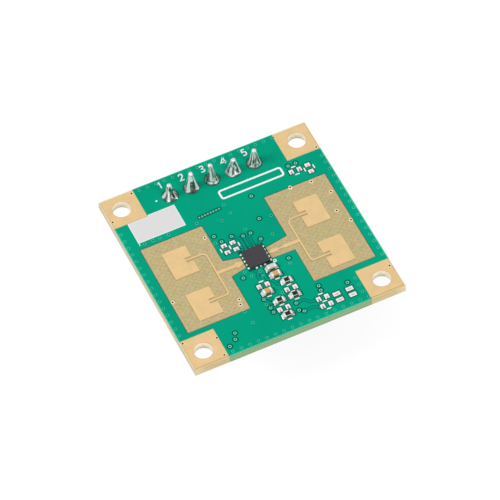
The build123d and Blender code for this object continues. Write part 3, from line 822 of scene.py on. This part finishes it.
JOINTS = [
    Joint(0.94, 1.35, 0.23, (-0.10, 0.02), 0.42, 0.95,
          legs=[(165, 24, 1.1), (-128, 20, 1.3), (-50, 15, 1.4), (55, 40, 1.0)],
          hollows=[(-92, 20, 0.22), (-160, 12, 0.20), (-96, 22, 0.62)],
          streaks=[(-20, 30, 0.05, 0.75, 0.10), (-88, 22, 0.04, 0.40, 0.20), (-155, 10, 0.03, 0.40, 0.12),
                   (-128, 13, 0.02, 0.70, 1.0), (-46, 7, 0.02, 0.55, 1.0), (-62, 6, 0.10, 0.60, 0.06),
                   (172, 16, 0.05, 0.45, 0.72), (-106, 12, 0.56, 0.78, 0.06), (-82, 7, 0.02, 0.30, 0.62)]),
    Joint(0.94, 1.15, 0.27, (0.04, -0.02), 0.34, 0.95,
          legs=[(-152, 20, 1.6), (-34, 18, 1.6), (70, 50, 1.2)],
          hollows=[(-100, 26, 0.36), (-95, 30, 0.08)],
          streaks=[(-98, 40, 0.02, 0.20, 0.34), (-98, 24, 0.20, 0.50, 0.20), (-100, 8, 0.27, 0.43, 0.55),
                   (-150, 17, 0.02, 0.92, 1.0), (-36, 14, 0.02, 0.92, 1.0), (-172, 7, 0.02, 0.7, 0.12),
                   (-66, 6, 0.05, 0.60, 0.12), (-100, 20, 0.55, 0.86, 0.86), (-8, 12, 0.05, 0.60, 0.15)]),
    Joint(0.79, 2.10, 0.27, (-0.15, 0.05), 0.10, 0.84,
          legs=[(-150, 40, 1.2), (-60, 30, 1.2), (60, 60, 1.0)],
          hollows=[(-112, 16, 0.93)],
          streaks=[(-160, 30, 0.04, 0.60, 0.36), (-80, 26, 0.10, 0.60, 0.40), (-124, 10, 0.16, 0.86, 0.92),
                   (-40, 7, 0.04, 0.30, 1.0), (-58, 6, 0.04, 0.40, 0.08), (-20, 12, 0.03, 0.75, 0.16),
                   (-178, 10, 0.03, 0.60, 0.14), (-128, 12, 0.03, 0.12, 0.95), (-98, 6, 0.14, 0.24, 0.90),
                   (-74, 6, 0.18, 0.28, 0.86), (-92, 5, 0.30, 0.80, 0.22)]),
    Joint(0.93, 1.05, 0.27, (0.10, -0.04), 0.18, 0.94,
          legs=[(165, 24, 1.3), (-134, 24, 1.4), (-34, 18, 1.6), (60, 40, 1.1)],
          hollows=[(-96, 22, 0.78), (-90, 28, 0.24)],
          streaks=[(-100, 26, 0.05, 0.60, 0.42), (-38, 8, 0.03, 0.84, 1.0), (-56, 5, 0.05, 0.70, 0.10),
                   (-142, 12, 0.10, 0.55, 0.92), (-160, 10, 0.02, 0.12, 1.0), (-168, 7, 0.14, 0.70, 0.16),
                   (-118, 6, 0.10, 0.60, 0.20), (-100, 16, 0.72, 0.82, 0.04), (-86, 6, 0.10, 0.60, 0.72),
                   (-14, 10, 0.03, 0.70, 0.14), (-95, 16, 0.02, 0.08, 0.85)]),
    Joint(0.82, 1.15, 0.27, (0.05, -0.04), 0.14, 0.86,
          legs=[(-165, 24, 1.4), (-32, 18, 1.6), (60, 50, 1.1)],
          hollows=[(-100, 24, 0.34)],
          streaks=[(-34, 8, 0.03, 0.55, 1.0), (-50, 5, 0.05, 0.60, 0.10), (-172, 9, 0.10, 0.60, 0.96),
                   (-155, 7, 0.05, 0.75, 0.12), (-140, 9, 0.03, 0.14, 0.98), (-122, 6, 0.20, 0.80, 0.14),
                   (-104, 9, 0.30, 0.80, 0.60), (-86, 8, 0.10, 0.60, 0.34), (-74, 6, 0.16, 0.30, 0.70),
                   (-16, 10, 0.03, 0.60, 0.14), (-136, 9, 0.40, 0.80, 0.70)]),
]


def solder_joints():
    """Tapered tails in solder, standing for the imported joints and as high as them."""
    turn = 360 / JOINT_SEGMENTS
    for number, joint in enumerate(JOINTS, 1):
        low, high = corners(f"solder_joint_{number}")
        middle, tall = (low + high) / 2, high.z - low.z
        shapes, rings = Shapes(), []
        for row in range(JOINT_ROWS):
            height = (row / (JOINT_ROWS - 1)) ** ROW_POWER
            lean = Vector(joint.lean) * height ** LEAN_POWER
            rings.append([])
            for i in range(JOINT_SEGMENTS):
                cover = pin_reach(height * tall, i * turn, lean) + PIN_COVER
                radius = max(joint.radius(height, i * turn), cover)
                place = on_circle(middle.xy + lean, radius, math.radians(i * turn))
                rings[-1].append((*place, low.z + height * tall))
                shapes.tones.append(joint.tone(height, i * turn))
        shapes.tube(rings, closed=False)
        shapes.piece(f"joint_{number}", "joint_tin", "solder", [f"solder_joint_{number}"])


# Chip parts
CHIP_HALF = 0.28  # half the length of a 1.0 mm chip part's bare body
END_L = 0.22  # its metal end beyond that, which grows with larger parts
END_ROUND = 0.045
LEAD_ROUND = 0.06
END_LAP = 0.01
MOUND_LIP = 0.02  # height of the solder at the rim of its land
MOUND_EDGE = 0.05  # how far in from there it rises
MOUND_START = 0.02  # how far beyond the bare body it begins
MOUND_STEPS = (16, 14)
END_LIFT = 0.03  # of the metal end over its land
COPPER_T = 0.035  # on the underside
CLIMB = 0.86  # share of the body's height that the solder climbs


def soldered_ends(node, along_y, up, climb):
    """Rounded metal ends of a chip part in menisci of solder, standing for its terminals."""
    low, high = corners(node)
    body_low, body_high = corners(node.replace("terminals", "body"))
    axis = 1 if along_y else 0
    cross = 1 - axis
    middle = (low + high) / 2
    land_half = (high[axis] - low[axis]) / 2
    half_width = (high[cross] - low[cross]) / 2
    body_half = (body_high[axis] - body_low[axis]) / 2
    body_width = (body_high[cross] - body_low[cross]) / 2 + END_LAP
    end = body_half + END_L * (body_half / CHIP_HALF)
    if up > 0:
        seat, base, top = COPPER_TOP, low.z, high.z
    else:
        seat, base, top = BOARD_LOW.z - COPPER_T, high.z, low.z

    def height(u, v):
        out = max(0.0, abs(u) - end, abs(v) - body_width)
        share = max(0.0, 1 - out / (land_half - end))
        edge = max(0.0, min(1.0, (land_half - abs(u)) / MOUND_EDGE, (half_width - abs(v)) / MOUND_EDGE))
        return seat + up * (MOUND_LIP * edge + climb * share ** 1.5 * edge ** 0.4)

    shapes = Shapes()
    for side in (1, -1):
        lump = Shapes()
        first, last = sorted((side * body_half, side * end))
        z_low, z_high = sorted((seat + up * END_LIFT, top))
        lump.soft_box((first, -body_width, z_low), (last, body_width, z_high), END_ROUND)
        span = sorted((side * (body_half + MOUND_START), side * land_half))
        lump.sheet(height, span, (-half_width, half_width), base, MOUND_STEPS)
        points = []
        for u, v, z in lump.points:
            point = [0, 0, z]
            point[axis], point[cross] = middle[axis] + u, middle[cross] + v
            points.append(point)
        shapes.add(points, lump.faces)
    shapes.piece(node.replace("_terminals", "_ends"), "bright_tin", "solder", [node])


def all_soldered_ends():
    for name in sorted(name for name in nodes if name.endswith("_terminals")):
        below = name.startswith("b")
        low, high = corners(name.replace("terminals", "body"))
        soldered_ends(name, below, -1 if below else 1, (high.z - low.z) * CLIMB)


def rounded_leads():
    """Lead ends of the packages without legs as lumps of solder with rounded edges."""
    for node in ("transceiver_leads", "microcontroller_leads"):
        shapes = Shapes()
        for low, high in loose_boxes(nodes[node].data):
            shapes.soft_box(low, high, LEAD_ROUND)
        shapes.piece(node.replace("_leads", "_lead_ends"), "bright_tin", "solder", [node])


LAND_EDGE_H = 0.022
LAND_STEPS = 13
LONG_LAND = 0.35  # lands with a half side over this are darkened across their length
# Middle and width of the darker mark, in half sides of its land
DARK_ACROSS = (0, 0.6)
DARK_ALONG = (-0.2, 0.26)
SMALL_DARK_X = (-0.05, 0.32)
SMALL_DARK_Y = (-0.60, 0.7)
LONG_DARK = 0.8
DARK_RIM = 0.9  # where the darker rim of a land begins
DARK_RIM_GAIN = 3


def bare_lands():
    """Tinned lands as low domes with rounded edges, darker in the middle and at the rim."""
    shapes = Shapes()
    for low, high in loose_boxes(nodes["bare_lands"].data):
        middle, half = (low + high) / 2, (high - low) / 2
        dome = high.z - COPPER_TOP - LAND_EDGE_H

        def height(x, y):
            share = max(abs(x - middle.x) / half.x, abs(y - middle.y) / half.y)
            return COPPER_TOP + LAND_EDGE_H + dome * (1 - share ** 3)

        first = len(shapes.points)
        shapes.sheet(height, (low.x, high.x), (low.y, high.y), low.z, (LAND_STEPS, LAND_STEPS))
        for x, y, _ in shapes.points[first:]:
            u, v = (x - middle.x) / half.x, (y - middle.y) / half.y
            if max(half.x, half.y) > LONG_LAND:
                across, along = (u, v) if half.x > half.y else (v, u)
                darkening = LONG_DARK * bell(across, *DARK_ACROSS) * bell(along, *DARK_ALONG)
            else:
                darkening = bell(u, *SMALL_DARK_X) * bell(v, *SMALL_DARK_Y)
            darkening *= 1.05 + 0.35 * math.sin(2.2 * middle.x + 1.0)  # differs from land to land
            rim = max(0.0, max(abs(u), abs(v)) - DARK_RIM) * DARK_RIM_GAIN
            share = min(1.0, darkening + rim)
            shapes.tones.append(tuple(a + (b - a) * share for a, b in zip(TIN, LAND_DARK)))
    shapes.piece("tinned_lands", "land_tin", "solder", ["bare_lands"])


def loose_boxes(mesh):
    """Corners of each separate shell of a mesh, in millimetres."""
    bm = bmesh.new()
    bm.from_mesh(mesh)
    bmesh.ops.remove_doubles(bm, verts=bm.verts[:], dist=1e-7)
    seen, boxes = set(), []
    for start in bm.verts:
        if start in seen:
            continue
        shell, stack = [], [start]
        seen.add(start)
        while stack:
            vertex = stack.pop()
            shell.append(vertex.co / MM)
            for edge in vertex.link_edges:
                other = edge.other_vert(vertex)
                if other not in seen:
                    seen.add(other)
                    stack.append(other)
        boxes.append((Vector(np.min(shell, axis=0)), Vector(np.max(shell, axis=0))))
    bm.free()
    return boxes


# Vias
OPEN_VIAS = [
    (-4.13, 2.97), (-10.87, -3.32), (-4.29, -6.21), (-4.46, -6.86),
    (9.55, 4.72), (10.86, 2.50), (10.28, -0.13), (11.14, -1.96),
]
EDGE_VIA = (7.14, 4.99)  # its ring laps over the edge of the mask
PAD_HOLES = [
    (-8.73, 12.10), (-12.20, 9.41), (12.12, 8.76), (8.48, 12.10), (-12.20, -8.78),
    (-8.60, -9.72), (-8.84, -12.12), (12.12, -9.41),
]
RINGED_VIAS = [
    (2.82, 5.84), (2.28, 2.67), (-3.17, 2.67), (-2.72, 1.66), (-1.44, 1.83), (-0.30, 1.32),
    (0.59, 1.32), (1.24, 0.10), (2.84, -3.61), (-2.70, -3.83), (8.19, 7.77), (9.11, 7.77),
    (-6.61, -10.05), (-6.93, -10.82), (-7.84, -11.39), (7.08, -9.41), (4.11, -8.42),
    (4.06, -9.06), (0.96, -9.41), (0.84, -10.40), (1.29, -10.74), (-1.78, -8.76),
    (-1.73, -9.41), (-1.93, -7.43),
]
FAINT_VIAS = [
    (-0.35, 6.14), (-0.20, 4.80), (-1.44, 4.26), (-3.42, 1.78), (0.30, 2.08), (3.61, 2.48),
    (2.67, 0.15), (-2.23, -3.17), (-1.78, -3.96), (-0.69, -3.86), (-0.64, -4.46),
    (8.07, -9.21), (8.07, -10.20), (8.02, -11.19), (0.25, -7.43), (-4.46, -7.97),
    (-4.31, -9.65), (2.67, -4.26), (-1.98, -8.12),
    (-10.30, 5.15), (-9.30, 5.15), (-8.50, 5.15), (-7.47, 5.15), (-4.08, 5.15),
]
STITCH_PITCH = 1.007
STITCH_AT = 12.1
STITCH_START = (-7.82, 7.43)  # first place along X and along Y
RIM_R = (0.095, 0.175)  # mask over a via's plated rim
RIM_BEVEL = 0.015
RIM_RISE = 0.008
PIT_RISE = 0.002
MOAT_R = (0.22, 0.37)
MOAT_RISE = 0.004
OPEN_R = (0.12, 0.22)
EDGE_R = (0.10, 0.24)
PAD_R = (0.12, 0.18)
HOLE_RIM = 0.06
HOLE_LAP = 0.002  # of a hole's shadow under its ring
MARK_T = 0.003  # marks drawn on a surface


def stitching():
    """Places of the fence of vias along the four edges."""
    x, y = STITCH_START
    sides = [(side * STITCH_AT, y - i * STITCH_PITCH) for side in (-1, 1) for i in range(16)]
    rows = [(x + i * STITCH_PITCH, side * STITCH_AT) for side in (-1, 1) for i in range(17)]
    return sides + rows


def via_marks(places, rims, pits, level=MASK_TOP, up=1):
    """Pale rings of mask over the rims of vias, and painted shade of the dimples in their middles."""
    inner, outer = RIM_R
    top = level + up * RIM_RISE
    for x, y in places:
        rim = [(inner, level), (outer, level), (outer - RIM_BEVEL, top), (inner + RIM_BEVEL, top)]
        rims.lathe(x, y, rim, 16)
        pits.disc(x, y, inner, *sorted((level, level + up * PIT_RISE)), 12)


def vias():
    moats, caps, pits, faint, shallow, rings, holes, rims = (Shapes() for _ in range(8))
    for x, y in RINGED_VIAS:
        moats.ring(x, y, *MOAT_R, MASK_TOP, MASK_TOP + MOAT_RISE)
    via_marks(RINGED_VIAS, caps, pits)
    via_marks(FAINT_VIAS, faint, pits)
    via_marks(stitching(), faint, shallow)
    via_marks(stitching(), faint, shallow, -MASK_T, -1)
    for x, y in OPEN_VIAS:
        rings.ring(x, y, *OPEN_R, LAMINATE_TOP, COPPER_TOP)
        holes.disc(x, y, OPEN_R[0] + HOLE_LAP, LAMINATE_TOP, COPPER_TOP - 0.01, 16)
    rings.ring(*EDGE_VIA, *EDGE_R, LAMINATE_TOP, MASK_TOP + MARK_T)
    holes.disc(*EDGE_VIA, EDGE_R[0] + HOLE_LAP, LAMINATE_TOP, MASK_TOP + 0.001, 16)
    for x, y in PAD_HOLES:
        holes.disc(x, y, PAD_R[0], COPPER_TOP, COPPER_TOP + MARK_T, 16)
        rings.ring(x, y, *PAD_R, COPPER_TOP, COPPER_TOP + MOAT_RISE, 16)
    for x, y in [(u * HOLE_AT, v * HOLE_AT) for u in (-1, 1) for v in (-1, 1)]:
        for low in (COPPER_TOP, -MARK_T):
            rims.ring(x, y, HOLE_R, HOLE_R + HOLE_RIM, low, low + MARK_T, 48)
    moats.piece("via_moats", "solder_mask_gap", "solder_mask")
    caps.piece("via_caps", "solder_mask_on_ring", "solder_mask")
    faint.piece("stitching_caps", "solder_mask_raised", "solder_mask")
    pits.piece("via_pits", "solder_mask_pit", "solder_mask")
    shallow.piece("stitching_pits", "solder_mask_shallow_pit", "solder_mask")
    rings.piece("via_rings", "plated_rim", "gold_copper")
    holes.piece("via_holes", "hole_shadow", "laminate")
    rims.piece("hole_rims", "laminate_window_edge", "laminate", smooth=False)


# Lines where the copper below the mask ends, and where it is bare, with painted shade and a painted
# highlight along some of them
WINDOW_MOAT = 0.06
WINDOW_SHADOW_LINE = -0.06
WINDOW_SHADE_W = -0.24
LAND_MOAT = 0.13
LAND_SHADE_RING = (-0.10, -0.01)  # painted shade round the foot of a joint, on the rim of its round land
SHORT_LOOP = 9.0  # openings of lands and leads are shorter round than this
ROUND_LOOP = 8  # and round ones have more points than this
EDGE_LINE = 0.1
CHIP_SHADE_T = 0.02


def loop_length(loop):
    return sum((b - a).length for a, b in zip(loop, loop[1:] + loop[:1]))


def is_outer(loop):
    """Whether a line runs counter-clockwise, round the outside of its node."""
    return sum(a.cross(b) for a, b in zip(loop, loop[1:] + loop[:1])) > 0


def moats():
    dark, bright, brown, blush, collar = (Shapes() for _ in range(5))
    for loop in outlines("solder_mask_top", MASK_TOP):
        if is_outer(loop):
            continue
        short = loop_length(loop) < SHORT_LOOP
        if short and len(loop) > ROUND_LOOP:
            # Dark ring: painted shade round the joint's foot
            collar.band(loop, *LAND_SHADE_RING, COPPER_TOP, MASK_TOP)
            continue
        width = LAND_MOAT if short else WINDOW_MOAT
        dark.band(loop, 0.0, width, MASK_TOP, MASK_TOP + MARK_T)
        if not short:
            # Painted shadow of the mask's edge on the laminate, and a wider, softer painted shade beyond it
            brown.band(loop, WINDOW_SHADOW_LINE, 0.0, LAMINATE_TOP, LAMINATE_TOP + MARK_T)
            blush.band(loop, WINDOW_SHADE_W, WINDOW_SHADOW_LINE, LAMINATE_TOP, LAMINATE_TOP + MARK_T / 2)
    for loop in outlines("solder_mask_bottom", -MASK_T):
        if not is_outer(loop):
            dark.band(loop, 0.0, LAND_MOAT, -MASK_T - MARK_T, -MASK_T)
    # Painted highlight along the mask's outer edges
    for side in (-1, 1):
        x, y = side * (BOARD_HIGH.x - EDGE_LINE), side * (BOARD_HIGH.y - EDGE_LINE)
        for path in ([(x, -PAD_IN), (x, PAD_IN)], [(-PAD_IN, y), (PAD_IN, y)]):
            bright.ribbon(path, EDGE_LINE, MASK_TOP, MASK_TOP + MARK_T)
    # Painted shade on the laminate under the transceiver, between its leads
    low, high = corners("transceiver_leads")
    field = [(low.x, low.y), (high.x, low.y), (high.x, high.y), (low.x, high.y)]
    dark.prism(field, LAMINATE_TOP, LAMINATE_TOP + CHIP_SHADE_T)
    dark.piece("mask_moats", "solder_mask_gap", "solder_mask", smooth=False)
    bright.piece("mask_edges", "solder_mask_raised", "solder_mask", smooth=False)
    brown.piece("window_edges", "laminate_window_edge", "laminate", smooth=False)
    blush.piece("window_blush", "laminate_window_blush", "laminate", smooth=False)
    collar.piece("land_collars", "solder_mask_gap", "solder_mask", smooth=False)


SHADOW_SHIFT = Vector((-0.05, -0.06))


def copper_drop_shadows():
    """Painted shadow on the laminate beside the bare copper, on the sides away from the light."""
    shapes = Shapes()
    for node in ("antenna_copper_left", "antenna_copper_right"):
        for loop in outlines(node, COPPER_TOP):
            moved = [tuple(point + SHADOW_SHIFT) for point in loop]
            shapes.prism(moved, LAMINATE_TOP, LAMINATE_TOP + MARK_T)
    shapes.piece("copper_shades", "laminate_edge", "laminate", smooth=False)


# Traces under the mask
TRACES = [
    [(-0.77, -0.50), (-0.77, 1.19), (-1.44, 1.83)],
    [(-0.33, -0.50), (-0.30, 1.32)],
    [(0.22, -0.50), (0.25, 0.90), (0.59, 1.32)],
    [(0.72, -0.50), (1.24, 0.10)],
    [(-1.10, -0.50), (-1.70, 0.06)],
    [(-1.24, -3.42), (-0.89, -3.96), (-1.19, -4.26), (-1.19, -4.85)],
    [(-0.89, -4.06), (-0.50, -4.65), (-0.50, -5.05), (0.00, -5.54), (0.30, -6.24), (0.60, -6.34)],
    [(-1.93, -7.43), (-1.58, -8.12), (-1.10, -8.37)],
    [(-1.68, -7.23), (-1.19, -7.82)],
    [(0.96, -9.41), (1.88, -9.36), (2.38, -9.95), (3.07, -10.05)],
    [(1.29, -10.74), (2.38, -10.71), (3.07, -11.09)],
]
TRACE_W = 0.20
TRACE_MOAT_W = 0.44
TRACE_RISE = 0.007
ETCHED_BAR = [Vector((-3.50, 5.72)), Vector((-1.06, 5.86))]  # middles of its round ends
ETCHED_BAR_W = 0.54
ETCHED_DOTS = 8
ETCHED_DOT_R = (0.04, 0.11)
ETCHED_DOT_RISE = 0.006


def traces():
    """Traces and a bar of dots that show through the mask."""
    moats, strips, bar, dots = (Shapes() for _ in range(4))
    for path in TRACES:
        moats.ribbon(path, TRACE_MOAT_W, MASK_TOP, MASK_TOP + MARK_T)
        strips.ribbon(path, TRACE_W, MASK_TOP, MASK_TOP + TRACE_RISE)
    bar.prism(rounded(ETCHED_BAR, ETCHED_BAR_W / 2, 8), MASK_TOP, MASK_TOP + MARK_T)
    for i in range(ETCHED_DOTS):
        x, y = ETCHED_BAR[0].lerp(ETCHED_BAR[1], i / (ETCHED_DOTS - 1))
        dots.ring(x, y, *ETCHED_DOT_R, MASK_TOP, MASK_TOP + ETCHED_DOT_RISE, 12)
    bar.piece("etched_bar", "solder_mask_gap", "solder_mask", smooth=False)
    dots.piece("etched_dots", "solder_mask_on_ring", "solder_mask")
    moats.piece("trace_moats", "solder_mask_beside_trace", "solder_mask", smooth=False)
    strips.piece("trace_strips", "solder_mask_on_trace", "solder_mask", smooth=False)


# Print
NUMBER_H = 0.92
NUMBER_Y = 11.66
NUMBER_DX = -0.42
PIN_PITCH = 2.54
PRINT_T = 0.012
STROKE = 0.145
DIGITS = {
    "1": [[(-0.16, 0.28), (0.04, 0.46), (0.04, -0.46)]],
    "2": [[(-0.24, 0.27), (-0.14, 0.42), (0.02, 0.46), (0.19, 0.39), (0.24, 0.20), (0.17, 0.02),
           (-0.24, -0.46), (0.26, -0.46)]],
    "3": [[(-0.24, 0.38), (-0.04, 0.46), (0.16, 0.40), (0.22, 0.22), (0.13, 0.07), (-0.06, 0.02),
           (0.15, -0.05), (0.25, -0.22), (0.17, -0.40), (-0.04, -0.46), (-0.26, -0.38)]],
    "4": [[(0.16, -0.46), (0.16, 0.46)], [(0.12, 0.46), (-0.34, -0.22), (0.34, -0.22)]],
    "5": [[(0.22, 0.46), (-0.17, 0.46), (-0.20, 0.07), (0.00, 0.11), (0.19, 0.04), (0.25, -0.16),
           (0.18, -0.37), (-0.01, -0.46), (-0.24, -0.38)]],
}
FRAME = [Vector(point) for point in ((7.05, 7.77), (0.10, 7.77), (0.10, 7.13), (7.05, 7.13))]
FRAME_CORNER = 0.35  # radius about the points of the frame
FRAME_STROKE = 0.22
FIRST_PIN_DOT = (-6.73, 9.90, 0.11)
FIRST_LEAD_RING = (1.34, -3.24, 0.10, 0.21)
LABEL_EDGE = 0.07
LABEL_EDGE_T = 0.002
LABEL_TAIL = [(-10.84, 5.50), (-10.84, 5.12)]
LABEL_TAIL_W = 0.08
DIMPLE_IN = 0.38
DIMPLE = [(0.08, -0.01), (0.13, -0.01), (0.12, 0.004), (0.09, 0.004)]  # radius, rise over the top


def printed_marks():
    """Pin numbers, an empty field, the label's border, a dot by the first pin and the first-lead ring."""
    shapes = Shapes()
    low, high = MASK_TOP, MASK_TOP + PRINT_T
    for i, digit in enumerate("12345"):
        x = (i - 2) * PIN_PITCH + NUMBER_DX
        for path in DIGITS[digit]:
            line = [(x + px * NUMBER_H, NUMBER_Y + py * NUMBER_H) for px, py in path]
            shapes.ribbon(line, STROKE, low, high)
    shapes.band(rounded(FRAME, FRAME_CORNER, 6), 0.0, FRAME_STROKE, low, high)
    shapes.disc(*FIRST_PIN_DOT, low, high)
    shapes.ring(*FIRST_LEAD_RING, low, high)
    shapes.ribbon(LABEL_TAIL, LABEL_TAIL_W, low, high)
    label_top = corners("print_marks")[1].z
    for loop in outlines("print_marks", label_top):
        if loop_length(loop) > SHORT_LOOP:
            shapes.band(loop, 0.0, LABEL_EDGE, label_top, label_top + LABEL_EDGE_T)
    shapes.piece("print_lines", "thick_print", "print", smooth=False)


def transceiver_mark():
    """First-lead dimple in the moulding."""
    low, high = corners("transceiver_body")
    shapes = Shapes()
    shapes.lathe(high.x - DIMPLE_IN, low.y + DIMPLE_IN, [(r, high.z + rise) for r, rise in DIMPLE])
    shapes.piece("transceiver_dimple", "moulded_epoxy", "mould_compound")


# Stage, in metres and watts
FLOOR_HALF = 1.5
FLOOR_GAP = 0.0001
FLOOR_GREY = (0.28, 0.28, 0.28)
FLOOR_GLOW = 0.82
AMBIENT = 0.58
LAMPS = [
    ("key", (-0.42, 0.06, 0.36), 0.24, 1.42),
    ("front", (0.16, -0.44, 0.20), 0.32, 1.15),
]


def floor_material():
    """Plain pale floor, nearly white where it is seen, that lights the object less."""
    material = bpy.data.materials.new("pale_floor")
    look = Tree(material)
    look.tree.nodes.clear()
    diffuse = look.new("BsdfDiffuse", Color=(*FLOOR_GREY, 1))
    glow = look.new("Emission")
    look.link(look.math("MULTIPLY", look.seen_directly(), FLOOR_GLOW), glow, "Strength")
    both = look.new("AddShader")
    look.fill(both.inputs, (diffuse.outputs[0], glow.outputs[0]))
    look.link(both.outputs[0], look.new("OutputMaterial"), "Surface")
    return material


def add_floor():
    level = cad_low.z - FLOOR_GAP
    square = [(u * FLOOR_HALF, v * FLOOR_HALF, level) for u, v in ((-1, -1), (1, -1), (1, 1), (-1, 1))]
    mesh = bpy.data.meshes.new("floor")
    mesh.from_pydata(square, [], [(0, 1, 2, 3)])
    mesh.materials.append(floor_material())
    floor = bpy.data.objects.new("floor", mesh)
    bpy.context.scene.collection.objects.link(floor)


def add_world():
    """White where it is seen, and dimmer as light on the object."""
    world = bpy.data.worlds.new("studio")
    look = Tree(world)
    background = look.tree.nodes["Background"]
    look.set(background, Color=(1, 1, 1, 1))
    look.link(look.range(look.seen_directly(), 0.0, 1.0, AMBIENT, 1.0), background, "Strength")
    bpy.context.scene.world = world


def add_lamps():
    """Square lamps that face the board."""
    for name, place, size, power in LAMPS:
        light = bpy.data.lights.new(name, "AREA")
        light.shape = "SQUARE"
        light.size = size
        light.energy = power
        lamp = bpy.data.objects.new(name, light)
        lamp.location = place
        lamp.rotation_mode = "QUATERNION"
        lamp.rotation_quaternion = (-Vector(place)).to_track_quat("-Z", "Y")
        bpy.context.scene.collection.objects.link(lamp)


def add_camera():
    azimuth, tilt, roll = (math.radians(a) for a in (CAMERA_AZIMUTH, 90 - CAMERA_ELEVATION, CAMERA_ROLL))
    turn = Matrix.Rotation(azimuth, 4, "Z") @ Matrix.Rotation(tilt, 4, "X") @ Matrix.Rotation(roll, 4, "Z")
    place = (Vector(CAMERA_TARGET) + turn.col[2].xyz * CAMERA_DISTANCE) * MM
    data = bpy.data.cameras.new("camera")
    data.lens = CAMERA_LENS
    data.sensor_width = CAMERA_SENSOR
    data.clip_start, data.clip_end = CAMERA_CLIP
    camera = bpy.data.objects.new("camera", data)
    camera.matrix_world = Matrix.Translation(place) @ turn
    bpy.context.scene.collection.objects.link(camera)
    bpy.context.scene.camera = camera


add_camera()
add_world()
add_floor()
add_lamps()
dress_nodes()
solder_joints()
all_soldered_ends()
bare_lands()
rounded_leads()
moats()
copper_drop_shadows()
vias()
traces()
printed_marks()
transceiver_mark()

bpy.context.scene.view_settings.view_transform = "Standard"
